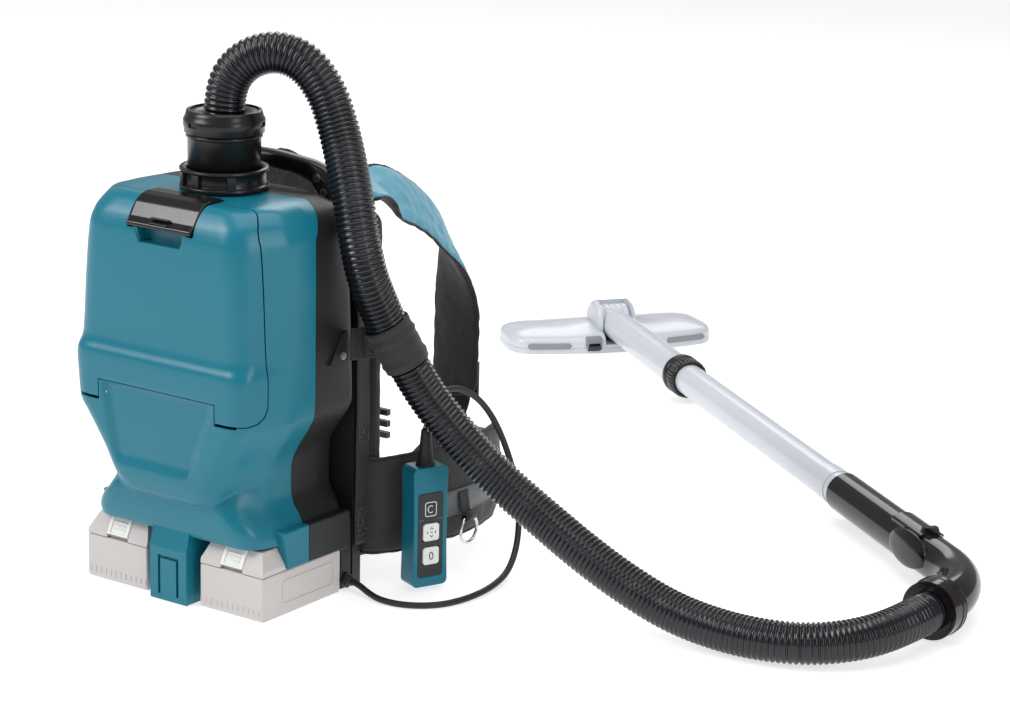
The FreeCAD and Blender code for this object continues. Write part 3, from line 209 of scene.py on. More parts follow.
def weave(name, colour, threads=420, rough=(0.75, 0.95), depth=0.5, mottle=0.14, **sockets):
    """Woven cloth: two crossing sets of threads, with worn and dusty patches."""
    made = Shader(name, **sockets)
    warp = made.waves(threads, 0.4)
    weft = made.waves(threads, 0.4, flip=(-1, 1, 1))
    cross = made.math("MULTIPLY", warp, weft)
    patches = made.noise(24, 7, rough=0.7)
    shade = made.math("ADD", made.math("MULTIPLY", cross, 0.35), made.math("MULTIPLY", patches, 0.75))
    made.colours(shade,
                 [(0.25, tint(colour, 1 - mottle * 2)), (0.5, colour), (0.8, tint(colour, 1 + mottle * 2))])
    made.roughness(patches, *rough)
    made.bump(cross, depth, 0.0004)
    made.bump(made.noise(70, 4), 0.25, 0.0015)
    return made.material


def metal(name, colour, rough=(0.2, 0.35), stretch=(1, 1, 30), **sockets):
    """Drawn or machined metal with fine marks along one direction."""
    made = Shader(name, Metallic=1.0, **sockets)
    made.colours(made.noise(60, 4), [(0.3, tint(colour, 0.88)), (0.7, tint(colour, 1.06))])
    made.roughness(made.noise(260, 3, stretch), *rough)
    made.bump(made.noise(420, 3, stretch), 0.12, 0.0002)
    return made.material


TEAL = (0.003, 0.158, 0.228)
BLACK = (0.009, 0.009, 0.0095)
teal = plastic("teal_plastic", TEAL, rough=(0.27, 0.36), grain=0.10, mottle=0.05, Specular_IOR_Level=0.42)
black = plastic("black_plastic", BLACK, rough=(0.36, 0.5), grain=0.25, mottle=0.2)
satin_black = plastic("satin_black_plastic", (0.008, 0.0075, 0.0075), rough=(0.24, 0.34), grain=0.08,
                      mottle=0.15, Specular_IOR_Level=0.4)
gloss_black = plastic("gloss_black_plastic", (0.006, 0.006, 0.007), rough=(0.14, 0.24), grain=0.03,
                      mottle=0.2)
hose_black = plastic("hose_plastic", (0.006, 0.007, 0.010), rough=(0.13, 0.26), grain=0.05, mottle=0.25)
pipe_black = plastic("pipe_plastic", (0.008, 0.006, 0.0055), rough=(0.08, 0.16), grain=0.02, mottle=0.2,
                     Specular_IOR_Level=0.36)
white = plastic("white_plastic", (0.57, 0.60, 0.65), rough=(0.16, 0.26), grain=0.03, mottle=0.015)
key_white = plastic("key_plastic", (0.82, 0.82, 0.80), rough=(0.32, 0.42), grain=0.08, mottle=0.02)
pack_grey = plastic("pack_plastic", (0.56, 0.53, 0.52), rough=(0.34, 0.46), grain=0.10, mottle=0.03)
panel_dark = plastic("panel_plastic", (0.018, 0.02, 0.022), rough=(0.3, 0.45), grain=0.12, mottle=0.15)
strip_grey = plastic("strip_rubber", (0.24, 0.25, 0.27), rough=(0.5, 0.65), grain=0.3, mottle=0.08)
rubber = plastic("black_rubber", (0.012, 0.012, 0.013), rough=(0.45, 0.6), grain=0.35, mottle=0.2,
                 grain_scale=900)
card = plastic("card", (0.36, 0.22, 0.11), rough=(0.8, 0.9), grain=0.5, mottle=0.12)
fleece = weave("bag_fleece", (0.62, 0.60, 0.55), threads=260, depth=0.35)
paper = weave("filter_paper", (0.74, 0.73, 0.69), threads=300, depth=0.2)
board = plastic("board_lacquer", (0.01, 0.09, 0.03), rough=(0.3, 0.4), grain=0.1)
steel = metal("machined_steel", (0.50, 0.50, 0.52))
chrome = metal("bright_ring", (0.72, 0.73, 0.75), rough=(0.08, 0.16))
lamination = metal("lamination", (0.22, 0.22, 0.23), rough=(0.4, 0.55), stretch=(1, 1, 90))
fan_metal = metal("fan_metal", (0.6, 0.61, 0.62), rough=(0.25, 0.4))
mesh_black = weave("spacer_mesh", (0.012, 0.012, 0.013), threads=330, rough=(0.8, 0.95), depth=0.9,
                   mottle=0.3, Sheen_Weight=0.25, Sheen_Roughness=0.5)
nylon_black = weave("black_nylon", (0.011, 0.011, 0.012), threads=520, rough=(0.5, 0.7), depth=0.6,
                    mottle=0.25, Sheen_Weight=0.15)
satin_blue = weave("blue_satin", (0.09, 0.32, 0.44), threads=560, rough=(0.38, 0.55), depth=0.3, mottle=0.07,
                   Sheen_Weight=0.4, Sheen_Roughness=0.35)
reflective = weave("reflective_band", (0.14, 0.15, 0.16), threads=480, rough=(0.4, 0.55), depth=0.3,
                   mottle=0.1)
thread_grey = plastic("thread", (0.10, 0.10, 0.105), rough=(0.6, 0.75), grain=0.4, mottle=0.2)
floor_white = plastic("floor", (0.55, 0.55, 0.55), rough=(0.7, 0.75), grain=0.0, mottle=0.004,
                      Emission_Color=(1, 1, 1, 1), Emission_Strength=0.68)


# ------------------------------------------------------------------ mesh helpers


def made_object(name, data, material):
    holder = bpy.data.objects.new(name, data)
    scene.collection.objects.link(holder)
    if material is not None:
        holder.data.materials.append(material)
    return holder


def from_lists(name, corners, faces, material, smooth=True):
    data = bpy.data.meshes.new(name)
    data.from_pydata([tuple(corner) for corner in corners], [], faces)
    data.validate()
    data.update()
    data.polygons.foreach_set("use_smooth", [smooth] * len(data.polygons))
    return made_object(name, data, material)


def from_bmesh(name, solid, material, smooth=True):
    data = bpy.data.meshes.new(name)
    bmesh.ops.recalc_face_normals(solid, faces=solid.faces)
    solid.to_mesh(data)
    solid.free()
    data.polygons.foreach_set("use_smooth", [smooth] * len(data.polygons))
    return made_object(name, data, material)


def outward_faces(holder):
    """Turn all of an object's faces outwards."""
    solid = bmesh.new()
    solid.from_mesh(holder.data)
    bmesh.ops.recalc_face_normals(solid, faces=solid.faces)
    solid.to_mesh(holder.data)
    solid.free()
    return holder


def flipped(data):
    """Mirror a mesh to the other side of the middle."""
    data.transform(Matrix.Scale(-1, 4, (1, 0, 0)))
    data.flip_normals()
    return data


def apply_modifiers(holder):
    """Turn an object's modifiers into plain mesh."""
    bpy.context.view_layer.update()
    graph = bpy.context.evaluated_depsgraph_get()
    data = bpy.data.meshes.new_from_object(holder.evaluated_get(graph), depsgraph=graph)
    old = holder.data
    holder.modifiers.clear()
    holder.data = data
    bpy.data.meshes.remove(old)
    return holder


def bevelled(holder, width, segments=3, angle=30):
    """Round the edges that are sharper than an angle, and shade the faces smoothly between them."""
    rounding = holder.modifiers.new("round", "BEVEL")
    rounding.width = width
    rounding.segments = segments
    rounding.limit_method = "ANGLE"
    rounding.angle_limit = math.radians(angle)
    rounding.harden_normals = True
    rounding.use_clamp_overlap = True
    return apply_modifiers(holder)


def boolean(holder, other, operation):
    """Join a solid to another, or cut it out of it, and use the other one up."""
    tool = holder.modifiers.new("tool", "BOOLEAN")
    tool.operation = operation
    tool.solver = "EXACT"
    tool.object = other
    apply_modifiers(holder)
    data = other.data
    bpy.data.objects.remove(other)
    bpy.data.meshes.remove(data)


def cut_out(holder, *cutters):
    """Cut other solids out of one."""
    for cutter in cutters:
        boolean(holder, cutter, "DIFFERENCE")
    return holder


def fused(name, *holders):
    """Join objects' meshes into the first one."""
    solid = bmesh.new()
    first = holders[0]
    for holder in holders:
        piece = holder.data.copy()
        piece.transform(holder.matrix_world)
        solid.from_mesh(piece)
        bpy.data.meshes.remove(piece)
    data = bpy.data.meshes.new(name)
    solid.to_mesh(data)
    solid.free()
    for material in first.data.materials:
        data.materials.append(material)
    for holder in holders:
        bpy.data.objects.remove(holder)
    return made_object(name, data, None)


def prism(name, outline, low, high, axis, material):
    """A solid drawn out along an axis from an outline of points on the other two axes."""
    others = [index for index in range(3) if index != axis]
    corners = []
    for level in (low, high):
        for one, two in outline:
            corner = [0.0, 0.0, 0.0]
            corner[axis] = level
            corner[others[0]], corner[others[1]] = one, two
            corners.append(corner)
    count = len(outline)
    faces = [list(range(count)), list(range(2 * count - 1, count - 1, -1))]
    faces += [[index, count + index, count + (index + 1) % count, (index + 1) % count]
              for index in range(count)]
    return outward_faces(from_lists(name, corners, faces, material, smooth=False))


def brick(name, low, high, material):
    outline = [(low[1], low[2]), (high[1], low[2]), (high[1], high[2]), (low[1], high[2])]
    return prism(name, outline, low[0], high[0], 0, material)


def grid_faces(rows, columns):
    """The quads of a grid of rows, where each row closes on itself."""
    return [[row * columns + column, row * columns + (column + 1) % columns,
             (row + 1) * columns + (column + 1) % columns, (row + 1) * columns + column]
            for row in range(rows - 1) for column in range(columns)]


def joining_faces(rows, columns):
    """The quads that join a grid's last row to its first."""
    last = (rows - 1) * columns
    return [[last + column, last + (column + 1) % columns, (column + 1) % columns, column]
            for column in range(columns)]


def end_faces(rows, columns):
    """The two faces that close the ends of a grid of closed rows."""
    last = (rows - 1) * columns
    return [list(range(columns - 1, -1, -1)), list(range(last, last + columns))]


def frame_of(direction):
    """Two directions across a direction."""
    side = direction.cross(Vector((0, 0, 1)))
    if side.length < 0.05:
        side = direction.cross(Vector((0, 1, 0)))
    side.normalize()
    return side, direction.cross(side).normalized()


def lathe(name, profile, centre, axis, material, segments=96):
    """A turned solid: a closed profile of (radius, distance along the axis) about a centre line."""
    axis = Vector(axis).normalized()
    side, other = frame_of(axis)
    corners = []
    for radius, along in profile:
        for step in range(segments):
            turn = 2 * math.pi * step / segments
            corners.append(Vector(centre) + axis * along + (side * math.cos(turn) + other * math.sin(turn))
                           * radius)
    faces = grid_faces(len(profile), segments) + joining_faces(len(profile), segments)
    holder = from_lists(name, corners, faces, material)
    solid = bmesh.new()
    solid.from_mesh(holder.data)
    bmesh.ops.remove_doubles(solid, verts=solid.verts, dist=1e-6)
    bmesh.ops.dissolve_degenerate(solid, edges=solid.edges, dist=1e-6)
    bmesh.ops.recalc_face_normals(solid, faces=solid.faces)
    solid.to_mesh(holder.data)
    solid.free()
    return holder


def travelled(line):
    """The distance along a line of points, at each of them."""
    steps = [0.0]
    for one, two in zip(line, line[1:]):
        steps.append(steps[-1] + (two - one).length)
    return steps


def sides_along(line, first_side=None):
    """For each point of a line, its heading and two directions across it that turn as little as they can."""
    headings = []
    for index in range(len(line)):
        ahead, behind = line[min(index + 1, len(line) - 1)], line[max(index - 1, 0)]
        headings.append((ahead - behind).normalized())
    side = first_side or frame_of(headings[0])[0]
    found = []
    for heading in headings:
        side = (side - heading * side.dot(heading)).normalized()
        found.append((heading, side, heading.cross(side).normalized()))
    return found


def tube(name, line, radius_at, material, segments=32):
    """A round tube along a line of points, whose radius follows the distance along it."""
    corners = []
    for point, (_, side, other), reach in zip(line, sides_along(line), travelled(line)):
        radius = radius_at(reach)
        for step in range(segments):
            turn = 2 * math.pi * step / segments
            corners.append(point + (side * math.cos(turn) + other * math.sin(turn)) * radius)
    faces = grid_faces(len(line), segments) + end_faces(len(line), segments)
    return from_lists(name, corners, faces, material)


def smooth_line(points, per_span=12):
    """A smooth line through points."""
    points = [Vector(point) for point in points]
    ends = [points[0] * 2 - points[1]] + points + [points[-1] * 2 - points[-2]]
    line = []
    for before, start, stop, after in zip(ends, ends[1:], ends[2:], ends[3:]):
        for step in range(per_span):
            t = step / per_span
            line.append(0.5 * ((2 * start) + (stop - before) * t
                               + (2 * before - 5 * start + 4 * stop - after) * t ** 2
                               + (3 * start - before - 3 * stop + after) * t ** 3))
    line.append(points[-1])
    return line


def ride(holder, body, *replaced, slot=None):
    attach(holder, body)
    if replaced:
        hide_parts(*replaced)
    return holder


def paint(node, material):
    """Give a CAD node that stays in view its material."""
    if not nodes[node].material_slots:
        nodes[node].data.materials.append(material)
    for slot in nodes[node].material_slots:
        slot.material = material


# ------------------------------------------------------------------ floor

FLOOR_CORNERS = [(x * FLOOR_HALF, y * FLOOR_HALF, FLOOR_LEVEL)
                 for x, y in ((-1, -1), (1, -1), (1, 1), (-1, 1))]
floor = from_lists("floor", FLOOR_CORNERS, [[0, 1, 2, 3]], floor_white)

# ------------------------------------------------------------------ hose and cable

HOSE_DIAMETER = 0.038
RIB_PITCH = 0.0049
RIB_DEPTH = 0.0023
HOSE_ROUTE = [
    (0, 0.018, 0.439), (0, 0.018, 0.468), (0.015, 0.027, 0.493), (0.040, 0.041, 0.503),
    (0.064, 0.054, 0.494), (0.083, 0.062, 0.468), (0.096, 0.063, 0.436), (0.111, 0.056, 0.407),
    (0.126, 0.047, 0.377), (0.136, 0.043, 0.344), (0.140, 0.049, 0.310), (0.144, 0.061, 0.282),
    (0.150, 0.070, 0.258), (0.160, 0.081, 0.230), (0.175, 0.097, 0.192), (0.200, 0.113, 0.155),
    (0.235, 0.128, 0.118), (0.275, 0.137, 0.090), (0.320, 0.138, 0.066), (0.366, 0.141, 0.044),
    (0.415, 0.145, 0.026), (0.468, 0.146, 0.020), (0.514, 0.151, 0.020), (0.550, 0.170, 0.020),
    (0.580, 0.204, 0.023), (0.596, 0.248, 0.028), (0.596, 0.297, 0.028),
]
CABLE_DIAMETER = 0.006
CABLE_ROUTE = [
    (0.112, 0.068, 0.009), (0.121, 0.067, 0.008), (0.135, 0.062, 0.005), (0.154, 0.057, 0.003),
    (0.180, 0.060, 0.003), (0.204, 0.079, 0.003), (0.214, 0.112, 0.003), (0.214, 0.152, 0.004),
    (0.206, 0.190, 0.009), (0.193, 0.222, 0.032), (0.179, 0.238, 0.072), (0.169, 0.228, 0.120),
    (0.163, 0.206, 0.158), (0.159, 0.176, 0.181), (0.157, 0.145, 0.187), (0.157, 0.124, 0.172),
    (0.157, 0.119, 0.154),
]


def route_curve(name, route, resolution):
    data = bpy.data.curves.new(name, "CURVE")
    data.dimensions = "3D"
    spline = data.splines.new("NURBS")
    spline.points.add(len(route) - 1)
    for point, place in zip(spline.points, route):
        point.co = (*place, 1)
    spline.order_u = 3
    spline.use_endpoint_u = True
    spline.resolution_u = resolution
    return made_object(name, data, None)


def read_line(curve):
    """The points of a curve that has no bevel."""
    bpy.context.view_layer.update()
    data = bpy.data.meshes.new_from_object(curve)
    line = [vertex.co.copy() for vertex in data.vertices]
    bpy.data.meshes.remove(data)
    return line


hose_guide = route_curve("hose_guide", HOSE_ROUTE, 60)
hose_line = read_line(hose_guide)
bpy.data.objects.remove(hose_guide)


def rib(reach):
    """The hose's radius: round-topped ribs with narrow valleys."""
    swing = abs(math.cos(math.pi * reach / RIB_PITCH))
    return HOSE_DIAMETER / 2 - RIB_DEPTH * (1 - swing ** 0.8)


hose = tube("hose_skin", hose_line, rib, hose_black, segments=40)
ride(hose, "unit", "hose", slot="ribbed_black")

cable = route_curve("switch_cable_skin", CABLE_ROUTE, 24)
cable.data.bevel_depth = CABLE_DIAMETER / 2
cable.data.bevel_resolution = 6
cable.data.use_fill_caps = True
cable.data.materials.append(rubber)
ride(cable, "unit", "switch_cable", slot="black_rubber")

# ------------------------------------------------------------------ casing skin

# Height, half width at the side crease, half width of the front face, and depth of the front face.
BOWL = [
    (92, 40, 26, 30), (97, 64, 44, 58), (102, 74, 51, 67), (110, 79, 56, 70.5), (118, 83, 60, 72.5),
    (140, 90, 71, 74.5), (153, 97, 79, 75.5), (170, 108, 90, 76.5), (182, 114, 98, 77),
    (204, 115.5, 100, 77.5), (223, 115.5, 100.5, 78.5), (229, 115.5, 100, 78), (238, 115.5, 98, 74),
    (244, 115.5, 97, 73), (300, 115.5, 92, 72.5), (345, 115, 87, 71), (358, 110, 84, 67),
    (368, 102, 79, 60), (374, 93, 73, 53), (376, 84, 66, 46),
]
SKIRT = [
    (66, 103, 92, 56), (70, 103, 92, 58), (78, 101.5, 90, 60.5), (86, 98, 85, 62), (96, 91, 76, 62.5),
    (106, 88, 68, 61), (120, 87.5, 62, 56), (140, 88, 58, 46), (160, 90, 50, 36),
]
# Height, half width and depth of the wearer's side.
REAR = [(66, 103, 78), (78, 101, 78), (106, 88, 78), (140, 89, 78), (188, 115, 78), (224, 115, 77),
        (345, 115, 69), (365, 104, 68), (376, 84, 60)]
CREASE_DEPTH = 24
SPLIT_DEPTH = 8
SKIRT_LEVEL = 66
CROWN_LEVEL = 376
COLUMNS = 288


def slopes(xs, ys):
    """Slopes that keep a curve through points free of overshoot."""
    steps = np.diff(xs)
    rises = np.diff(ys) / steps
    found = np.zeros_like(ys)
    found[0], found[-1] = rises[0], rises[-1]
    for index in range(1, len(ys) - 1):
        one, two = rises[index - 1], rises[index]
        if one * two > 0:
            first = 2 * steps[index] + steps[index - 1]
            second = steps[index] + 2 * steps[index - 1]
            found[index] = (first + second) / (first / one + second / two)
    return found


def eased(table, column):
    """A smooth function of height through one column of a table."""
    xs = np.array([row[0] for row in table], float)
    ys = np.array([row[column] for row in table], float)
    slope = slopes(xs, ys)

    def value(at):
        at = min(max(at, xs[0]), xs[-1])
        index = min(int(np.searchsorted(xs, at, side="right")) - 1, len(xs) - 2)
        span = xs[index + 1] - xs[index]
        t = (at - xs[index]) / span
        return ((1 + 2 * t) * (1 - t) ** 2 * ys[index] + t * (1 - t) ** 2 * span * slope[index]
                + t * t * (3 - 2 * t) * ys[index + 1] + t * t * (t - 1) * span * slope[index + 1])

    return value


def rounded_corners(points, radii, steps=8):
    """A closed outline whose corners are replaced by curves."""
    line = []
    for index, (corner, radius) in enumerate(zip(points, radii)):
        corner = np.array(corner, float)
        before = np.array(points[index - 1], float) - corner
        after = np.array(points[(index + 1) % len(points)], float) - corner
        if radius == 0:
            line.append(corner)
            continue
        reach = min(radius, 0.48 * np.linalg.norm(before), 0.48 * np.linalg.norm(after))
        start = corner + before / np.linalg.norm(before) * reach
        stop = corner + after / np.linalg.norm(after) * reach
        for step in range(steps + 1):
            t = step / steps
            line.append(start * (1 - t) ** 2 + corner * 2 * t * (1 - t) + stop * t * t)
    line = np.array(line)
    after = np.roll(line, -1, axis=0)
    shares = np.linspace(0, 1, 24, endpoint=False)[None, :, None]
    return (line[:, None, :] * (1 - shares) + after[:, None, :] * shares).reshape(-1, 2)


BEARINGS = np.linspace(-math.pi, math.pi, COLUMNS, endpoint=False)


def reach_of(outline):
    """The distance from the middle to an outline, at each bearing."""
    bearing = np.arctan2(outline[:, 1], outline[:, 0])
    length = np.hypot(outline[:, 0], outline[:, 1])
    order = np.argsort(bearing)
    bearing, length = bearing[order], length[order]
    closed = np.concatenate([bearing[-1:] - 2 * math.pi, bearing, bearing[:1] + 2 * math.pi])
    span = np.concatenate([length[-1:], length, length[:1]])
    return np.interp(BEARINGS, closed, span)


def outline_at(half, face, front, rear_half, rear, crease):
    right = [(face, -front), (half, -crease), (half, SPLIT_DEPTH), (rear_half - 3, rear - 12),
             (rear_half - 15, rear)]
    radii = [17, 7, 2, 4, 4]
    left = [(-x, y) for x, y in reversed(right)]
    return rounded_corners(right + left, radii + radii[::-1])


TABLES = {name: [eased(table, column) for column in range(1, len(table[0]))]
          for name, table in (("bowl", BOWL), ("skirt", SKIRT), ("rear", REAR))}


def section(height):
    """Points round the casing at one height."""
    rear_half, rear = (value(height) for value in TABLES["rear"])
    reaches = []
    for name, table in (("bowl", BOWL), ("skirt", SKIRT)):
        if not table[0][0] <= height <= table[-1][0]:
            continue
        half, face, front = (value(height) for value in TABLES[name])
        crease = min(CREASE_DEPTH, front * 0.5)
        side = max(rear_half, half) if name == "skirt" else rear_half
        reaches.append(reach_of(outline_at(half, face, front, side, rear, crease)))
    if len(reaches) == 2:
        gap = reaches[0] - reaches[1]
        soft = 1.2
        reach = (reaches[0] + reaches[1] + np.sqrt(gap ** 2 + soft ** 2)) / 2 - soft * 0.1
    else:
        reach = reaches[0]
    return np.stack([reach * np.cos(BEARINGS), reach * np.sin(BEARINGS)], 1)


def swell(value, low, high):
    """0 below low, 1 above high, and smooth between them."""
    t = min(max((value - low) / (high - low), 0), 1)
    return t * t * (3 - 2 * t)


def front_detail(x, height):
    """How far the front face is pressed in: the dished panel above the bowl's bright ledge."""
    if height > 204 or height < 116:
        return 0.0
    width = 46 + (height - 128) * 0.30
    inside = 1 - swell(abs(x + 9 * (1 - swell(height, 120, 200))), width - 7, width + 1)
    lifted = swell(height, 122, 137)
    return 4.2 * inside * lifted


def heights(low, high):
    """Row heights that are close together where the skin turns quickly."""
    found = [low]
    while found[-1] < high - 0.9:
        here = found[-1]
        fine = here < 145 or 218 < here < 248 or here > 352
        found.append(min(here + (1.7 if fine else 4.5), high))
    return found


def skin(inset=0.0):
    """The casing's closed outer surface, or one drawn in by a wall."""
    solid = bmesh.new()
    rows = []
    for height in heights(SKIRT_LEVEL + inset, CROWN_LEVEL - inset):
        row = []
        for x, y in section(height):
            if y < 0:
                weight = swell(-y, 50, 62)
                y += front_detail(x, height) * weight
            if inset:
                span = math.hypot(x, y)
                x, y = x * (1 - inset / span), y * (1 - inset / span)
            row.append(solid.verts.new((x * MM, y * MM, height * MM)))
        rows.append(row)
    for low, high in zip(rows, rows[1:]):
        for index in range(COLUMNS):
            after = (index + 1) % COLUMNS
            solid.faces.new((low[index], low[after], high[after], high[index]))
    solid.faces.new(list(reversed(rows[0])))
    solid.faces.new(rows[-1])
    return solid


def cut_plane(solid, spot, normal, **settings):
    """Add edges where a plane, given in millimetres, crosses a surface."""
    return bmesh.ops.bisect_plane(solid, geom=solid.verts[:] + solid.edges[:] + solid.faces[:], dist=1e-7,
                                  plane_co=tuple(value * MM for value in spot), plane_no=normal, **settings)


def inside_outline(outline, y, z):
    """Whether a point lies in a closed side outline."""
    found = False
    for (y1, z1), (y2, z2) in zip(outline, outline[1:] + outline[:1]):
        if (z1 > z) != (z2 > z) and y < y1 + (z - z1) / (z2 - z1) * (y2 - y1):
            found = not found
    return found


def slice_up(solid, outlines, walls=(), levels=()):
    """Add edges to a surface where side outlines, upright walls and levels cross it."""
    for outline in outlines:
        for (y1, z1), (y2, z2) in zip(outline, outline[1:] + outline[:1]):
            cut_plane(solid, (0, y1, z1), (0, z2 - z1, y1 - y2))
    for x in walls:
        cut_plane(solid, (x, 0, 0), (1, 0, 0))
    for z in levels:
        cut_plane(solid, (0, 0, z), (0, 0, 1))


def keep_faces(solid, wanted):
    drop = []
    for face in solid.faces:
        middle = face.calc_center_median() / MM
        if not wanted(middle.x, middle.y, middle.z):
            drop.append(face)
    bmesh.ops.delete(solid, geom=drop, context="FACES")


SEAM_GAP = 1.1
LID_LOW = 187
GROOVE_LOW = 184
GROOVE_HALF = 92


def lid_outline(gap):
    """The lid's side outline: its seam runs down the side and turns forward under it."""
    seam, top = -50 + gap, -36 + gap
    low = LID_LOW - gap
    corner = [(seam - 18, low), (seam - 9, low + 2.2), (seam - 3, low + 7), (seam, low + 15)]
    crown = [(seam, 352), (seam + 2, 360), (seam + 6.5, 367), (top, 377)]
    return [(-120, low)] + corner + crown + [(top, 400), (-120, 400)]


LATCH_HALF = 39
LATCH_BACK = -23
# The notch under the latch is a step in the crown, and a lower one in the front face.
NOTCH_CROWN = 368.5
NOTCH_FRONT = 349
NOTCH_DEPTH = -46
RECESS = {"top": 30, "low": 24, "level": 337, "high": 12}
SPLIT = [(SPLIT_DEPTH, -10), (SPLIT_DEPTH, 345), (30, 376), (30, 420), (-200, 420), (-200, -10)]


def in_notch(x, y, z):
    return abs(x) < LATCH_HALF and ((y < LATCH_BACK and z > NOTCH_CROWN)
                                    or (y < NOTCH_DEPTH and z > NOTCH_FRONT))


SPLIT_GAP = 0.5
WALL = 3.0
RIM = 0.9


def shelled(name, solid, material):
    """A wall of even thickness behind a surface, with its rims rounded."""
    holder = from_bmesh(name, solid, material)
    thick = holder.modifiers.new("wall", "SOLIDIFY")
    thick.thickness = WALL * MM
    thick.offset = -1
    apply_modifiers(holder)
    return bevelled(holder, RIM * MM, 3, 50)


TONGUE_HALF = 70
TONGUE_LEVEL = 204


def make_lid():
    solid = skin()
    outline = lid_outline(0)
    slice_up(solid, [outline], (-LATCH_HALF, LATCH_HALF, -TONGUE_HALF, TONGUE_HALF),
             (TONGUE_LEVEL, NOTCH_FRONT, NOTCH_CROWN, RECESS["level"]))
    for x1, x2 in ((-RECESS["low"], -RECESS["top"]), (RECESS["low"], RECESS["top"])):
        cut_plane(solid, (x1, 0, RECESS["level"]), (RECESS["high"], 0, x1 - x2))

    def wanted(x, y, z):
        if not inside_outline(outline, y, z) or in_notch(x, y, z):
            return False
        if abs(x) < TONGUE_HALF and z < TONGUE_LEVEL:
            return False
        slope = RECESS["low"] + (z - RECESS["level"]) / RECESS["high"] * (RECESS["top"] - RECESS["low"])
        return not (RECESS["level"] < z < NOTCH_FRONT and abs(x) < slope and y < -40)

    keep_faces(solid, wanted)
    return shelled("lid_cover", solid, teal)


def make_front():
    solid = skin()
    outline = lid_outline(SEAM_GAP)
    half, level = TONGUE_HALF - SEAM_GAP, TONGUE_LEVEL - SEAM_GAP
    slice_up(solid, [outline, SPLIT], (-LATCH_HALF, LATCH_HALF, -half, half),
             (level, NOTCH_CROWN, NOTCH_FRONT, GROOVE_LOW))

    def wanted(x, y, z):
        if not inside_outline(SPLIT, y, z) or in_notch(x, y, z):
            return False
        tongue = abs(x) < half and z < level
        if y < -40 and GROOVE_LOW < z < LID_LOW and not tongue and abs(x) < GROOVE_HALF:
            return False
        return tongue or not inside_outline(outline, y, z)

    keep_faces(solid, wanted)
    return shelled("front_shell", solid, teal)


def make_rear():
    solid = skin()
    outline = [(y + SPLIT_GAP, z) for y, z in SPLIT]
    slice_up(solid, [outline])
    keep_faces(solid, lambda x, y, z: not inside_outline(outline, y, z))
    return shelled("rear_shell", solid, black)


lid_cover = make_lid()
front_shell = make_front()
rear_shell = make_rear()

# The tray behind the finger recess, drawn in millimetres.
tray = prism("lid_recess", [(-32, 350), (32, 350), (27, 333), (-27, 333)], -70.2, -57, 1, teal)
tray_room = prism("tray_room", [(-29.6, 360), (29.6, 360), (23.8, 337), (-23.8, 337)], -90, -59, 1, teal)
for holder in (tray, tray_room):
    holder.data.transform(Matrix.Scale(MM, 4))
cut_out(tray, tray_room)
bevelled(tray, 0.6 * MM, 2)


def slab(name, box, material):
    """The part of the casing's inside that lies in a box, as a solid."""
    solid = skin(WALL)
    (x1, x2), (y1, y2), (z1, z2) = box
    for spot, away in (((x1, 0, 0), (-1, 0, 0)), ((x2, 0, 0), (1, 0, 0)), ((0, y1, 0), (0, -1, 0)),
                       ((0, y2, 0), (0, 1, 0)), ((0, 0, z1), (0, 0, -1)), ((0, 0, z2), (0, 0, 1))):
        cut = cut_plane(solid, spot, away, clear_outer=True)
        rim = [item for item in cut["geom_cut"] if isinstance(item, bmesh.types.BMEdge)]
        if rim:
            bmesh.ops.contextual_create(solid, geom=rim)
    return from_bmesh(name, solid, material, smooth=False)


# The mouth behind the lid is a frame of two posts and two rails, and the latch shuts on a shelf above it.
MOUTH_DEPTH = (-45, -42)
MOUTH = [((-112, -88), (181, 359)), ((88, 112), (181, 359)), ((-88, 88), (181, 212)), ((-88, 88), (340, 359))]
mouth = fused("bag_mouth",
              *[slab("mouth_bar", (across, MOUTH_DEPTH, levels), teal) for across, levels in MOUTH])
shelf = brick("latch_shelf", (-0.043, -0.035, 0.3655), (0.043, -0.020, 0.3685), teal)
block_outline = [(-62, 0.4), (57, 0.4), (57, 62), (0, 62), (0, 70), (-58, 70), (-57, 71), (-62, 51)]
block = prism("centre_block", [(y * MM, z * MM) for y, z in block_outline], -22 * MM, 22 * MM, 0, teal)
channel = [brick("channel", (left, -0.07, low), (right, -0.0593, 0.0435), teal)
           for left, right, low in ((-0.0125, 0.0125, 0.0405), (-0.0125, -0.0095, 0.006),
                                    (0.0095, 0.0125, 0.006))]
bevelled(block, 1.6 * MM, 3, 20)
cut_out(block, *channel)
# The side feet that hang beside the battery packs, one teal and one black on each side.
FEET = {
    "front_foot": ([(-22, 44), (7.8, 44), (7.8, 80), (-30, 80), (-26, 66)], teal),
    "rear_foot": ([(8.2, 44), (64, 43), (67, 47), (67, 79), (8.2, 80)], black),
}
feet = {}
for name, (outline, finish) in FEET.items():
    pair = []
    for low, high in ((99, 110), (-110, -99)):
        piece = prism(name + str(low), [(y * MM, z * MM) for y, z in outline], low * MM, high * MM, 0, finish)
        pair.append(bevelled(piece, 1.6 * MM, 3, 20))
    feet[name] = fused(name, *pair)
rear_leg = brick("rear_leg", (-0.1035, 0.0622, 0.0004), (0.1035, 0.0777, 0.068), black)
bevelled(rear_leg, 0.002, 3)
for holder in (front_shell, block, mouth, shelf, feet["front_foot"]):
    ride(holder, "unit", "front_casing", slot="teal_shell")
for holder in (rear_shell, feet["rear_foot"], rear_leg):
    ride(holder, "unit", "rear_casing", slot="black_shell")
for holder in (lid_cover, tray):
    ride(holder, "lid", "lid", slot="teal_shell")
for holder in (mouth, shelf):
    holder.data.polygons.foreach_set("use_smooth", [False] * len(holder.data.polygons))

# ------------------------------------------------------------------ latch, inlet, cuff and carry handle

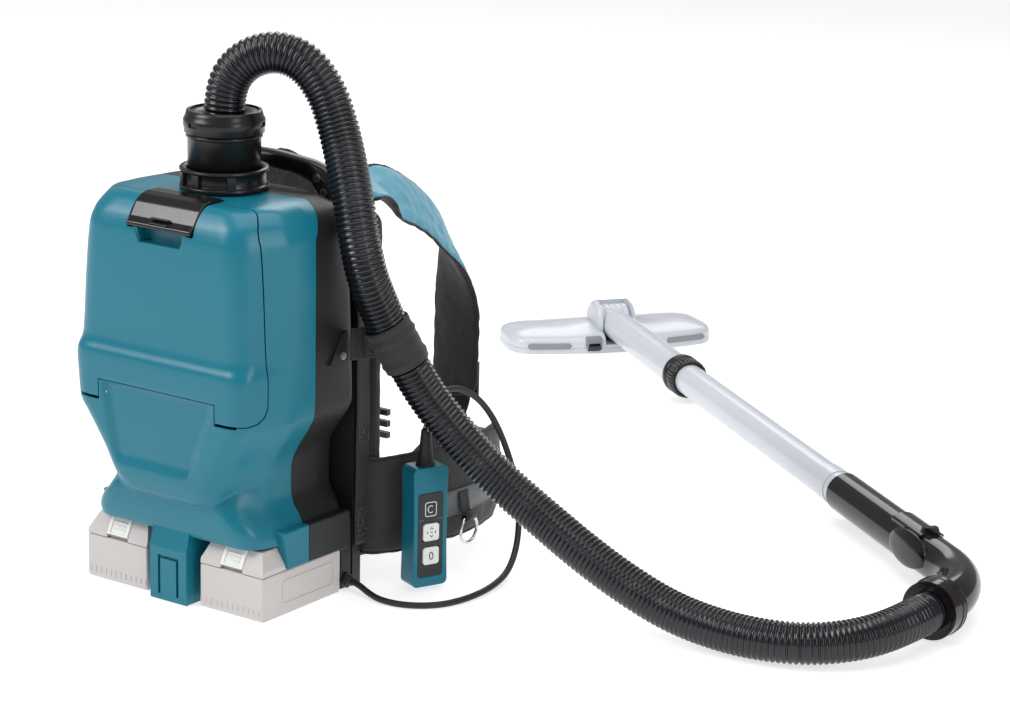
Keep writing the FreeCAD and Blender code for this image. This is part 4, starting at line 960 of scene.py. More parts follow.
LATCH_OUTLINE = [(-26, 369.5), (-26, 376.5), (-30, 378.3), (-44, 378.3), (-52, 376.5), (-59, 371),
                 (-67, 359), (-73, 354.2), (-73.2, 351.2), (-70.5, 350.4), (-63.5, 350.6), (-60, 354),
                 (-53, 366.5), (-46, 371)]
latch = prism("latch_clip", [(y * MM, z * MM) for y, z in LATCH_OUTLINE], -0.038, 0.038, 0, gloss_black)
bevelled(latch, 1.4 * MM, 4, 18)
ridges = []
for level in (356.2, 360.2):
    y = -73.6 + (level - 354.2) * 0.72
    ridge = brick("ridge%d" % level, (-0.011, (y - 0.9) * MM, (level - 0.5) * MM),
                  (0.011, (y + 2) * MM, (level + 0.6) * MM), gloss_black)
    ridges.append(bevelled(ridge, 0.45 * MM, 2))
latch = fused("latch_clip", latch, *ridges)
ride(latch, "latch", "latch", slot="gloss_black")

INLET = (0, 0.018, 0.376)
UP = (0, 0, 1)


def turned(name, profile, material):
    """A turned piece on the inlet's upright axis; its profile is in millimetres."""
    return lathe(name, [(radius * MM, along * MM) for radius, along in profile], INLET, UP, material, 112)


collar = turned("inlet_flange", [(33.7, 0.1), (40, 0.1), (41, 1), (41, 3.6), (40.4, 4.4), (38.2, 4.8),
                                 (37.8, 5.4), (37.8, 15.6), (38.4, 16.4), (40.2, 16.8), (41, 17.4),
                                 (41, 19.2), (40.2, 20), (36.5, 20), (33.7, 19.2)], satin_black)
stops = []
for turn in (-62, -30, 20):
    angle = math.radians(turn - 60)
    spot = Vector((math.cos(angle) * 0.0392, 0.018 + math.sin(angle) * 0.0392, 0))
    stop = brick("stop%d" % turn, (-0.0016, -0.004, 0.380), (0.0016, 0.004, 0.3925), satin_black)
    stop.data.transform(Matrix.Translation(spot) @ Matrix.Rotation(angle, 4, "Z"))
    stops.append(bevelled(stop, 0.0005, 2))
collar = fused("inlet_flange", collar, *stops)
cuff = turned("hose_sleeve", [(30.9, -14), (33.4, -14), (33.4, 46.5), (33.9, 47.2), (34.9, 47.6),
                              (34.9, 50), (33.4, 50.6), (33.4, 70), (31.5, 70.6), (26, 70.6), (19.2, 70),
                              (19.2, 60), (30.9, 60)], satin_black)
ring = turned("turn_ring", [(33.5, 51), (35.6, 51), (36.6, 52), (36.6, 56.5), (37.3, 57.4), (37.3, 63.4),
                            (36.6, 64.4), (35.2, 68), (34.2, 71.6), (33, 72), (31, 72), (31, 70.8),
                            (33.5, 70.4)], satin_black)
slots = []
for turn in (-100, 20, 140):
    angle = math.radians(turn)
    slot_cut = brick("slot%d" % turn, (0.0355, -0.0055, 0.4345), (0.041, 0.0055, 0.4385), satin_black)
    slot_cut.data.transform(Matrix.Translation((0, 0.018, 0)) @ Matrix.Rotation(angle, 4, "Z"))
    slots.append(slot_cut)
cut_out(ring, *slots)
ride(collar, "unit", "inlet_collar", slot="black_shell")
ride(cuff, "unit", "hose_cuff", slot="black_shell")
ride(ring, "unit", "cuff_ring", slot="black_shell")

HANDLE_DEPTH = 0.0795
HANDLE_HALF = [(0.078, 0.352), (0.077, 0.366), (0.069, 0.3805), (0.048, 0.3905)]
HANDLE_LINE = smooth_line([(-x, HANDLE_DEPTH, z) for x, z in HANDLE_HALF] + [(0, HANDLE_DEPTH, 0.3945)]
                          + [(x, HANDLE_DEPTH, z) for x, z in reversed(HANDLE_HALF)], 16)


def band(name, line, section_at, material, first_side):
    """A solid along a line, whose section of (across, out) points follows the share of its length."""
    reach = travelled(line)
    corners, columns = [], 0
    for point, (_, side, other), at in zip(line, sides_along(line, first_side), reach):
        outline = section_at(at / reach[-1])
        columns = len(outline)
        corners += [point + side * across + other * out for across, out in outline]
    faces = grid_faces(len(line), columns) + end_faces(len(line), columns)
    return from_lists(name, corners, faces, material)


def oval(half_wide, half_high, power=2.6, count=36):
    """A rounded rectangle between an ellipse and a box."""
    found = []
    for step in range(count):
        turn = 2 * math.pi * step / count
        wide, high = math.cos(turn), math.sin(turn)
        found.append((math.copysign(abs(wide) ** (2 / power), wide) * half_wide,
                      math.copysign(abs(high) ** (2 / power), high) * half_high))
    return found


def handle_section(share):
    grip = swell(min(share, 1 - share), 0.16, 0.34)
    return oval(0.0093 - 0.0006 * grip, 0.0108 - 0.0022 * grip)


handle = band("carry_bow", HANDLE_LINE, handle_section, satin_black, Vector((0, 1, 0)))
panels = []
for sign in (-1, 1):
    outline = [(0.060, 0.3795), (0.0645, 0.3905), (0.0745, 0.3835), (0.0825, 0.3665), (0.0805, 0.3605),
               (0.072, 0.366)]
    plate = prism("plate%d" % sign, [(sign * x, z) for x, z in outline], 0.0688, 0.0725, 1, satin_black)
    panels.append(bevelled(plate, 0.0009, 3))
handle = fused("carry_bow", handle, *panels)
ride(handle, "unit", "carry_handle", slot="black_shell")


# ------------------------------------------------------------------ batteries and their release buttons


def mm(*points):
    return [(one * MM, two * MM) for one, two in points]


# The turn at which each round corner starts, and the side and level that it lies on.
QUARTERS = ((0, 1, 1), (90, -1, 1), (180, -1, -1), (270, 1, -1))


def rounded_plate(name, centre, half_wide, half_high, radius, low, high, axis, material, bevel=0.0004):
    """A plate with round corners, drawn out along an axis; its centre is on the other two axes."""
    outline = []
    for turn, one, two in QUARTERS:
        for step in range(9):
            angle = math.radians(turn + 90 * step / 8)
            outline.append((centre[0] + one * (half_wide - radius) + math.cos(angle) * radius,
                            centre[1] + two * (half_high - radius) + math.sin(angle) * radius))
    return bevelled(prism(name, outline, low, high, axis, material), bevel, 3, 40)


def make_battery(name):
    """One slide-on battery on the +X side: a lower tray, a raised front and the rail that slides in."""
    tray = prism("tray", mm((-53, 0.6), (55, 0.6), (57, 4), (57, 42.4), (-55, 42.4), (-55, 3)), 0.0325,
                 0.1065, 0, pack_grey)
    bevelled(tray, 0.0032, 5, 25)
    front = prism("front", mm((-54.7, 43.2), (-54.2, 47), (-45.5, 63.6), (-15.5, 63.6), (-15.5, 43.2)),
                  0.0328, 0.1062, 0, pack_grey)
    outer = prism("wedge", mm((108, 44), (108, 70), (95.5, 70)), -0.08, 0.02, 1, pack_grey)
    inner = prism("wedge", mm((31, 44), (41.5, 70), (31, 70)), -0.08, 0.02, 1, pack_grey)
    cut_out(front, outer, inner)
    pocket = prism("pocket",
                   mm((-62, 42), (-50.9, 42), (-50.9, 43.4), (-40.9, 60.9), (-40.9, 70), (-62, 70)), 0.0564,
                   0.0826, 0, pack_grey)
    cut_out(front, pocket)
    bevelled(front, 0.0014, 4, 25)
    deck = prism("deck", mm((-16, 42.6), (56.6, 42.6), (56.6, 43.2), (-16, 43.2)), 0.0335, 0.1055, 0,
                 pack_grey)
    rail = prism("rail", mm((-16, 42), (54, 42), (54, 52.6), (-16, 52.6)), 0.0440, 0.0950, 0, pack_grey)
    bevelled(rail, 0.0012, 3, 25)
    frame_out = rounded_plate("plate", (0.010, 0.0225), 0.037, 0.0115, 0.004, 0.1062, 0.1071, 0, pack_grey)
    window = rounded_plate("window", (0.010, 0.0225), 0.0358, 0.0103, 0.0032, 0.1050, 0.1080, 0, pack_grey)
    cut_out(frame_out, window)
    ribs = [bevelled(brick("rib", (0.0335 + 0.0062 * step, -0.0556, 0.006),
                           (0.0345 + 0.0062 * step, -0.0540, 0.012), pack_grey), 0.0003, 2)
            for step in range(12)]
    return fused(name, tray, front, deck, rail, frame_out, *ribs)


def make_release(name):
    """The white release button: a framed key on the battery's sloping front."""
    middle = 0.0695
    key = prism("key", mm((-51.0, 46.8), (-41.6, 63.9), (-43.2, 65.2), (-46.6, 64.6), (-55.4, 48.2),
                          (-55.1, 46.8)), middle - 0.0128, middle + 0.0128, 0, key_white)
    bevelled(key, 0.0010, 4, 25)
    dent = prism("dent", mm((-57, 49.6), (-47.2, 66), (-46.0, 63.0), (-53.9, 48.6)), middle - 0.0092,
                 middle + 0.0092, 0, key_white)
    cut_out(key, dent)
    grips = []
    for share in (0.22, 0.42, 0.62):
        y, z = -54.2 + share * 8.2, 49.4 + share * 14.6
        grip = brick("grip", (middle - 0.0078, (y - 0.7) * MM, (z - 0.5) * MM),
                     (middle + 0.0078, (y + 0.9) * MM, (z + 0.5) * MM), key_white)
        grips.append(bevelled(grip, 0.0003, 2))
    return fused(name, key, *grips)


for side_name in ("right", "left"):
    pack = make_battery("pack_" + side_name)
    release = make_release("release_" + side_name)
    if side_name == "left":
        for holder in (pack, release):
            flipped(holder.data)
    ride(pack, "battery_" + side_name, "battery_" + side_name, slot="clear_grey")
    ride(release, "battery_button_" + side_name, "battery_button_" + side_name, slot="white_key")

# ------------------------------------------------------------------ hand controller

CONTROL_X, CONTROL_Y, CONTROL_TOP = 0.157, 0.119, 0.120
CONTROL = Matrix.Translation((CONTROL_X, CONTROL_Y, 0)) @ Matrix.Rotation(math.radians(67), 4, "Z")


def placed(holder, matrix):
    holder.data.transform(matrix)
    holder.data.update()
    return holder


def body_outline(half, low, high, radius, waist):
    """A tall rounded rectangle whose long sides pull in a little at the middle of its height."""
    outline = []
    for turn, one, two in QUARTERS:
        corner_z = high - radius if two > 0 else low + radius
        for step in range(13):
            angle = math.radians(turn + 90 * step / 12)
            outline.append((one * (half - radius) + math.cos(angle) * radius,
                            corner_z + math.sin(angle) * radius))
        if turn in (90, 270):
            for step in range(1, 12):
                share = step / 12
                z = (high - radius) * (1 - share) + (low + radius) * share
                if turn == 270:
                    z = (low + radius) * (1 - share) + (high - radius) * share
                outline.append((one * (half - waist * math.sin(math.pi * share)), z))
    return outline


case = prism("switch_body", body_outline(0.0184, 0.0042, 0.1198, 0.0052, 0.0009), -0.0112, 0.0119, 1, teal)
cut_out(case, rounded_plate("well", (0, 0.0545), 0.0132, 0.0408, 0.0030, -0.0135, -0.0102, 1, teal))
key_levels = [(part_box(body)[0][2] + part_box(body)[1][2]) / 2 for body in ("stop_button", "speed_button")]
for level in key_levels:
    cut_out(case,
            brick("key_well", (-0.0089, -0.0140, level - 0.0089), (0.0089, -0.0088, level + 0.0089), teal))
bevelled(case, 0.0011, 4, 35)
placed(case, CONTROL)
ride(case, "unit", "controller_case", slot="teal_shell")

panel_piece = rounded_plate("switch_face", (0, 0.0545), 0.0130, 0.0406, 0.0028, -0.0112, -0.0098, 1,
                            panel_dark)
for level in key_levels:
    cut_out(panel_piece, brick("key_hole", (-0.0088, -0.0140, level - 0.0088),
                               (0.0088, -0.0090, level + 0.0088), panel_dark))
light_ring = rounded_plate("ring", (0, 0.0795), 0.0062, 0.0070, 0.0022, -0.01145, -0.0108, 1, key_white,
                           0.0001)
cut_out(light_ring, rounded_plate("ring_hole", (0, 0.0795), 0.0055, 0.0063, 0.0017, -0.0125, -0.0100, 1,
                                  key_white, 0.0001))
arc = [Vector((math.cos(turn) * 0.0031, -0.01135, 0.0795 + math.sin(turn) * 0.0033))
       for turn in np.linspace(0.9, 5.4, 24)]
light_arc = tube("arc", arc, lambda reach: 0.00045, key_white, 10)
placed(panel_piece, CONTROL)
ride(panel_piece, "unit", "controller_panel", slot="dark_plastic")
marks = placed(fused("switch_mark", light_ring, light_arc), CONTROL)
ride(marks, "unit", slot="white_key")
dividers = []
for low_x, high_x in ((-0.0129, -0.0078), (0.0078, 0.0129)):
    dividers.append(bevelled(brick("divider", (low_x, -0.01145, 0.0690), (high_x, -0.0108, 0.0700), teal),
                             0.0001, 2))
ride(placed(fused("switch_divider", *dividers), CONTROL), "unit", slot="teal_shell")


def key_piece(name, level, sign_points):
    """A rounded key with dark raised signs on it."""
    plate = rounded_plate(name, (0, level), 0.0084, 0.0084, 0.0028, -0.0131, -0.0106, 1, key_white, 0.0007)
    signs = []
    for points, radius in sign_points:
        line = [Vector((x, -0.01315, level + z)) for x, z in points]
        signs.append(tube("sign", line, lambda reach, thick=radius: thick, panel_dark, 8))
    marks_on = fused(name + "_sign", *signs)
    return placed(plate, CONTROL), placed(marks_on, CONTROL)


ZERO = [(math.cos(turn) * 0.0019, math.sin(turn) * 0.0034) for turn in np.linspace(0, 2 * math.pi, 28)]
UP_ARROW = [(-0.0015, 0.0028), (0, 0.0048), (0.0015, 0.0028)]
DOWN_ARROW = [(-0.0015, -0.0028), (0, -0.0048), (0.0015, -0.0028)]
LEVEL_BARS = [[(-0.0042, -0.0012), (-0.0042, 0.0012)], [(0.0042, -0.0012), (0.0042, 0.0012)],
              [(-0.001, 0), (0.001, 0)]]
KEY_SIGNS = {
    "stop_button": [(ZERO, 0.00045)],
    "speed_button": [(points, 0.00038) for points in [UP_ARROW, DOWN_ARROW] + LEVEL_BARS],
}
for body, shapes in KEY_SIGNS.items():
    low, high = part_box(body)
    plate, sign = key_piece(body + "_cap", (low[2] + high[2]) / 2, shapes)
    ride(plate, body, body, slot="white_key")
    ride(sign, body, slot="dark_plastic")

boot = lathe("switch_boot", [(0.0030, -0.001), (0.0092, -0.001), (0.0092, 0.0012), (0.0086, 0.0020),
                             (0.0080, 0.0026), (0.0066, 0.012), (0.0057, 0.020), (0.0050, 0.028),
                             (0.0046, 0.0325), (0.0040, 0.0340), (0.0030, 0.0340)],
             (CONTROL_X, CONTROL_Y, CONTROL_TOP), UP, rubber, 48)
ride(boot, "unit", "controller_boot", slot="grey_rubber")

# ------------------------------------------------------------------ the loop that holds the hose

BAND_AXIS = Vector((10, 11, -28)).normalized()
BAND_CENTRE = Vector((0.155, 0.0755, 0.244))
band_rows = []
for along in np.linspace(-0.021, 0.021, 15):
    fold = 0.0005 * math.sin(along * 520) + 0.0003 * math.sin(along * 1310 + 1)
    band_rows.append((0.0216 + fold, along))
loop_profile = band_rows + [(0.0212, 0.0216), (0.0200, 0.0214), (0.0198, 0.020), (0.0198, -0.020),
                            (0.0200, -0.0214), (0.0212, -0.0216)]
loop = lathe("hose_loop", loop_profile, BAND_CENTRE, BAND_AXIS, nylon_black, 88)
for corner in loop.data.vertices:
    offset = corner.co - BAND_CENTRE
    radial = offset - BAND_AXIS * offset.dot(BAND_AXIS)
    if radial.length > 0.0205:
        corner.co += radial.normalized() * 0.0007 * noise.noise(corner.co * 70)
loop.data.update()

# ------------------------------------------------------------------ padded cloth

swelling = []
SWELL_FRAMES = 20


def even_oval(half_wide, half_high, power, count):
    """A rounded rectangle whose points lie at equal distances along it, from the +across side."""
    turns = np.linspace(0, 2 * math.pi, 720, endpoint=False)
    wide, high = np.cos(turns), np.sin(turns)
    outline = np.stack([np.sign(wide) * np.abs(wide) ** (2 / power) * half_wide,
                        np.sign(high) * np.abs(high) ** (2 / power) * half_high], axis=1)
    closed = np.vstack([outline, outline[:1]])
    reach = np.concatenate([[0], np.cumsum(np.linalg.norm(np.diff(closed, axis=0), axis=1))])
    marks = np.linspace(0, reach[-1], count, endpoint=False)
    return list(zip(np.interp(marks, reach, closed[:, 0]), np.interp(marks, reach, closed[:, 1])))


def resampled(line, count):
    """Points at equal distances along a line."""
    places = np.array([tuple(point) for point in line])
    reach = np.array(travelled(line))
    marks = np.linspace(0, reach[-1], count)
    return [Vector(tuple(np.interp(mark, reach, places[:, axis]) for axis in range(3))) for mark in marks]


def rounded_end(share, length, radius):
    """How wide a strip is near its two round ends, as a share of its full width."""
    near = min(share, 1 - share) * length
    return 0.06 + 0.94 * math.sqrt(max(0.0, 1 - (1 - min(near / radius, 1)) ** 2))


def held_cloth(holder, rows, columns, held_rows, held_columns, pressure, cap):
    """Queue a closed cloth form for the air simulation, with its seams held still."""
    held = [row * columns + column for row in range(rows) for column in range(columns)
            if row in held_rows or column in held_columns]
    holder.vertex_groups.new(name="held").add(held, 1.0, "REPLACE")
    swelling.append((holder, pressure, cap))


def swell_all():
    """Fill every queued form with air at once, and keep the result as plain mesh."""
    starts = {}
    for holder, pressure, _ in swelling:
        starts[holder.name] = np.array([tuple(corner.co) for corner in holder.data.vertices])
        cloth = holder.modifiers.new("cloth", "CLOTH")
        cloth.settings.quality = 5
        cloth.settings.mass = 0.25
        cloth.settings.tension_stiffness = 18
        cloth.settings.compression_stiffness = 18
        cloth.settings.bending_stiffness = 0.6
        cloth.settings.use_pressure = True
        cloth.settings.uniform_pressure_force = pressure
        cloth.settings.vertex_group_mass = "held"
        cloth.settings.effector_weights.gravity = 0
        cloth.collision_settings.use_collision = False
        cloth.collision_settings.use_self_collision = False
        cloth.point_cache.frame_start = 1
        cloth.point_cache.frame_end = SWELL_FRAMES
    for step in range(1, SWELL_FRAMES + 1):
        scene.frame_set(step)
    graph = bpy.context.evaluated_depsgraph_get()
    results = {}
    for holder, _, _ in swelling:
        made = holder.evaluated_get(graph).data
        results[holder.name] = np.array([tuple(corner.co) for corner in made.vertices])
    for holder, _, cap in swelling:
        holder.modifiers.clear()
        start = starts[holder.name]
        move = results[holder.name] - start
        far = np.linalg.norm(move, axis=1, keepdims=True)
        move *= np.minimum(1, cap / np.maximum(far, 1e-9))
        holder.data.vertices.foreach_set("co", (start + move).ravel())
        holder.data.update()
    scene.frame_set(1)


def wrinkle(holder, amount, scale, stretch=(1, 1, 1), only=None):
    """Push a mesh in and out along its normals by soft ridged noise."""
    data = holder.data
    normals = [corner.normal.copy() for corner in data.vertices]
    for index, corner in enumerate(data.vertices):
        if only is not None and not only(index):
            continue
        place = Vector((corner.co.x * stretch[0], corner.co.y * stretch[1], corner.co.z * stretch[2])) * scale
        ridge = 1 - abs(noise.noise(place)) * 2.4
        fine = noise.noise(place * 2.7 + Vector((4, 1, 7)))
        corner.co += normals[index] * amount * (ridge * 0.7 + fine * 0.5 - 0.4)
    data.update()


def finer(holder):
    """Subdivide a piece once."""
    layer = holder.modifiers.new("finer", "SUBSURF")
    layer.levels = layer.render_levels = 1
    return apply_modifiers(holder)


def column_line(holder, column, columns, first, stop):
    """The corners along one column of a grid, from one row to before another."""
    return [holder.data.vertices[row * columns + column].co.copy() for row in range(first, stop)]


def two_tone(holder, rows, columns, second, chosen):
    """Give the faces of chosen columns a second material."""
    holder.data.materials.append(second)
    for row in range(rows - 1):
        for column in range(columns):
            if chosen(column):
                holder.data.polygons[row * columns + column].material_index = 1


def mirrored(holder, name):
    """The same piece on the other side of the middle."""
    return made_object(name, flipped(holder.data.copy()), None)


STITCH, STITCH_GAP, THREAD_RADIUS, THREAD_LIFT = 0.0032, 0.0014, 0.00042, 0.0003


def stitches(name, rows_of_points):
    """Runs of thread along lines of (point, outward) pairs."""
    solid = bmesh.new()
    for points in rows_of_points:
        line = resampled([point for point, _ in points],
                         max(2, int(travelled([p for p, _ in points])[-1] / 0.001)))
        outward = points[0][1].normalized()
        reach = travelled(line)
        start = 0.0
        while start + STITCH <= reach[-1] + 1e-6:
            one = line[min(range(len(line)), key=lambda at: abs(reach[at] - start))]
            two = line[min(range(len(line)), key=lambda at: abs(reach[at] - start - STITCH))]
            heading = two - one
            if heading.length > 1e-5:
                heading.normalize()
                side = heading.cross(outward).normalized()
                rings = []
                for share, fat in ((0, 0.35), (0.2, 1), (0.8, 1), (1, 0.35)):
                    spot = one.lerp(two, share) + outward * THREAD_LIFT
                    radius = THREAD_RADIUS * fat
                    rings.append([solid.verts.new(spot + (side * math.cos(turn) + outward * math.sin(turn))
                                                  * radius)
                                  for turn in (0, 1.047, 2.094, 3.142, 4.189, 5.236)])
                for first, second in zip(rings, rings[1:]):
                    for index in range(6):
                        solid.faces.new([first[index], first[(index + 1) % 6], second[(index + 1) % 6],
                                         second[index]])
            start += STITCH + STITCH_GAP
    return from_bmesh(name, solid, thread_grey)


def crossed_box(centre, across, up, outward, half_wide, half_high):
    """The lines of a box stitch: a rectangle and its two diagonals."""
    corners = [centre + across * half_wide * one + up * half_high * two
               for one, two in ((-1, -1), (1, -1), (1, 1), (-1, 1))]
    pairs = [(0, 1), (1, 2), (2, 3), (3, 0), (0, 2), (1, 3)]
    return [[(corners[one], outward), (corners[two], outward)] for one, two in pairs]


def webbing(name, points, across, thick, first_side, count=60, wave=0.0):
    """A flat woven strap along points, with rounded selvedges and a gentle ripple."""
    line = resampled(smooth_line(points, 10), count)
    lean = sides_along(line, first_side)
    reach = travelled(line)
    line = [point + other * math.sin(at * 90) * wave for point, (_, _, other), at in zip(line, lean, reach)]

    def section(share):
        half, deep = across / 2, thick / 2
        return [(half, -deep * 0.5), (half, deep * 0.5), (half - 0.0012, deep), (half * 0.5, deep * 0.86),
                (0, deep * 0.8), (-half * 0.5, deep * 0.86), (0.0012 - half, deep), (-half, deep * 0.5),
                (-half, -deep * 0.5), (0.0012 - half, -deep), (-half * 0.5, -deep * 0.86), (0, -deep * 0.8),
                (half * 0.5, -deep * 0.86), (half - 0.0012, -deep)]

    return band(name, line, section, nylon_black, first_side)


# back pad: a tall quilted cushion with a waist
PAD_LOW, PAD_HIGH, PAD_DEPTH = 0.0145, 0.3635, 0.1054
PAD_TALL = PAD_HIGH - PAD_LOW
PAD_COLUMNS = 88
PAD_ROWS = [Vector((0, PAD_DEPTH, z)) for z in np.linspace(PAD_LOW, PAD_HIGH, 72)]


def pad_section(share):
    z = PAD_LOW + share * PAD_TALL
    half = 0.1108 * rounded_end(share, PAD_TALL, 0.022) ** 0.5
    half -= 0.010 * math.exp(-((z - 0.262) / 0.012) ** 2)
    deep = 0.0115 * rounded_end(share, PAD_TALL, 0.016)
    return even_oval(half, deep, 5.0, PAD_COLUMNS)


back_pad = band("back_cushion", PAD_ROWS, pad_section, mesh_black, Vector((1, 0, 0)))
rows = len(PAD_ROWS)
PAD_SEAMS = (18, 35, 51, 64)
held_cloth(back_pad, rows, PAD_COLUMNS, (0, 1, rows - 2, rows - 1) + PAD_SEAMS, (0, PAD_COLUMNS // 2), 3.5,
           0.004)

# shoulder straps: a black mesh pad with a blue satin cover over the outside
STRAP_POINTS = [(0.1035, 0.3670), (0.1364, 0.366), (0.1804, 0.352), (0.2230, 0.326), (0.2560, 0.290),
                (0.2690, 0.240), (0.2700, 0.190), (0.2684, 0.1400)]
STRAP_COLUMNS = 36
STRAP_LEAN = math.radians(50)
STRAP_X = 0.079
strap_line = resampled(smooth_line([(STRAP_X, y, z) for y, z in STRAP_POINTS], 12), 84)
strap_reach = travelled(strap_line)[-1]


def strap_section(share):
    at = share * strap_reach
    scallop = 0.0011 * abs(math.sin(at * math.pi / 0.021)) if 0.03 < at else 0
    half = (0.0305 + scallop) * rounded_end(max(0.5, share), strap_reach, 0.022)
    lean = STRAP_LEAN * swell(share, 0.02, 0.20) * (1 - 0.75 * swell(share, 0.42, 0.75))
    return [(across * math.cos(lean) - out * math.sin(lean), across * math.sin(lean) + out * math.cos(lean))
            for across, out in even_oval(half, 0.0048, 3.2, STRAP_COLUMNS)]


strap = band("shoulder_cushion_right", strap_line, strap_section, mesh_black, Vector((1, 0, 0)))
rows = len(strap_line)
held_cloth(strap, rows, STRAP_COLUMNS, (0, 1, rows - 1), (0, STRAP_COLUMNS // 2), 3.0, 0.003)

# waist belts: two curved quilted wings
BELT_POINTS = [(0.0980, 0.0960), (0.1090, 0.0985), (0.1190, 0.1080), (0.130, 0.140), (0.138, 0.180),
               (0.139, 0.222), (0.130, 0.262), (0.1145, 0.291)]
BELT_COLUMNS = 46
belt_line = resampled(smooth_line([(x, y, 0.075) for x, y in BELT_POINTS], 12), 46)
belt_reach = travelled(belt_line)[-1]


def belt_section(share):
    half = 0.0465 * rounded_end(max(0.5, share), belt_reach, 0.034) ** 0.6
    return even_oval(half, 0.0046, 3.6, BELT_COLUMNS)


belt = band("waist_wing_right", belt_line, belt_section, nylon_black, Vector((0, 0, 1)))
rows = len(belt_line)
BELT_SEAMS = (5, 18, 28, 41)
held_cloth(belt, rows, BELT_COLUMNS, (0, 1, rows - 1), (0, BELT_COLUMNS // 2) + BELT_SEAMS, 3.0, 0.003)

swell_all()

wrinkle(back_pad, 0.0012, 34, (1, 1, 1.4))
rows, columns = len(PAD_ROWS), PAD_COLUMNS
pad_edges = [tube("pad_piping", column_line(back_pad, column, columns, 2, rows - 2), lambda reach: 0.0017,
                  nylon_black, 12) for column in (38, 6)]
finer(back_pad)
back_pad = fused("back_cushion", back_pad, *pad_edges)
ride(back_pad, "unit", "back_pad", slot="black_fabric")

rows, columns = len(strap_line), STRAP_COLUMNS
BLUE = range(STRAP_COLUMNS // 2 + 1, STRAP_COLUMNS)
wrinkle(strap, 0.0021, 42, (0.6, 1.6, 1.6),
        only=lambda index: index % columns in BLUE and index < rows * columns)
wrinkle(strap, 0.0007, 60, only=lambda index: index % columns not in BLUE and index < rows * columns)
two_tone(strap, rows, columns, satin_blue, lambda column: column >= STRAP_COLUMNS // 2)
edges = [tube("strap_piping", column_line(strap, column, columns, 0, rows - 1), lambda reach: 0.0014,
              nylon_black, 12) for column in (0, STRAP_COLUMNS // 2)]
finer(strap)
strap = fused("shoulder_cushion_right", strap, *edges)
other_strap = mirrored(strap, "shoulder_cushion_left")
ride(strap, "unit", "shoulder_strap_right", slot="blue_fabric")
ride(other_strap, "unit", "shoulder_strap_left", slot="blue_fabric")

rows, columns = len(belt_line), BELT_COLUMNS
wrinkle(belt, 0.0010, 46)
outer_belt = [[belt.data.vertices[row * columns + column].co.copy() for column in range(columns)]
              for row in range(rows)]
rim = [tube("belt_piping", column_line(belt, column, columns, 0, rows - 1), lambda reach: 0.0015,
            nylon_black, 12) for column in (0, BELT_COLUMNS // 2)]
finer(belt)
belt = fused("waist_wing_right", belt, *rim)
other_belt = mirrored(belt, "waist_wing_left")
ride(belt, "unit", "waist_belt_right", slot="black_fabric")
ride(other_belt, "unit", "waist_belt_left", slot="black_fabric")


# The reflective band follows the belt's swollen outer side, just proud of the cloth.
STRIPE_SECTION = [(-0.0122, -0.002), (-0.0122, 0.0003), (-0.0112, 0.0008), (0, 0.0009), (0.0112, 0.0008),
                  (0.0122, 0.0003), (0.0122, -0.002)]
STRIPE_DROP = 0.011
stripe_corners = []
first_row, last_row = 13, 38
for row in range(first_row, last_row):
    _, side, other = sides_along(belt_line, Vector((0, 0, 1)))[row]
    lift = max((point - belt_line[row]).dot(other) for point in outer_belt[row][4:20]) + 0.0006
    for across, out in STRIPE_SECTION:
        stripe_corners.append(belt_line[row] + side * (across - STRIPE_DROP) + other * (lift + out))
stripe_faces = grid_faces(last_row - first_row, len(STRIPE_SECTION)) + end_faces(last_row - first_row,
                                                                                 len(STRIPE_SECTION))
stripe = from_lists("belt_band_right", stripe_corners, stripe_faces, reflective)
sewn = stitches("belt_thread", [[(point, Vector((1, 0, 0))) for point in stripe_corners[2::7]],
                                [(point, Vector((1, 0, 0))) for point in stripe_corners[4::7]]])
stripe = fused("belt_band_right", stripe, sewn)
other_stripe = mirrored(stripe, "belt_band_left")
ride(stripe, "unit", "belt_stripes", slot="reflective")
ride(other_stripe, "unit", slot="reflective")

# webbing: strap tails, belt tails, ring tab and the straps sewn down the harness
WEB = [(STRAP_X, y, z) for y, z in ((0.2764, 0.196), (0.2794, 0.160), (0.2704, 0.122), (0.2184, 0.092),
                                    (0.1724, 0.076), (0.1216, 0.062))]
web_right = webbing("strap_tail_right", WEB, 0.024, 0.0018, Vector((1, 0, 0)), 70, 0.0004)
web_left = mirrored(web_right, "strap_tail_left")
tail_right = webbing("belt_tail_right",
                     [(0.1136, 0.2925, 0.075), (0.103, 0.308, 0.075), (0.088, 0.320, 0.075)], 0.026, 0.0018,
                     Vector((0, 0, 1)), 20)
tail_left = mirrored(tail_right, "belt_tail_left")
ring_tab = webbing("ring_tab", [(0.1462, 0.194, 0.074), (0.1482, 0.194, 0.062), (0.1492, 0.194, 0.055),
                                (0.1512, 0.194, 0.0535)], 0.015, 0.0016, Vector((0, 1, 0)), 16)
ring_loop = lathe("ring_loop", [(0.0027, -0.0075), (0.0042, -0.0075), (0.0042, 0.0075), (0.0027, 0.0075)],
                  (0.1534, 0.194, 0.050), (0, 1, 0), nylon_black, 32)
side_web = webbing("harness_web", [(0.1054, 0.0885, 0.330), (0.1062, 0.0885, 0.250), (0.1068, 0.0885, 0.160),
                                   (0.1060, 0.0885, 0.090), (0.1056, 0.0885, 0.040)], 0.0185, 0.0020,
                   Vector((0, 1, 0)), 60, 0.0003)
side_web_left = mirrored(side_web, "harness_web_left")
box_lines = []
for spot, half_high in (((0.1075, 0.0885, 0.062), 0.013), ((0.1080, 0.0885, 0.150), 0.010)):
    box_lines += crossed_box(Vector(spot), Vector((0, 1, 0)), Vector((0, 0, 1)), Vector((1, 0, 0)), 0.0072,
                             half_high)
box_thread = stitches("harness_thread", box_lines)
box_thread_left = mirrored(box_thread, "harness_thread_left")
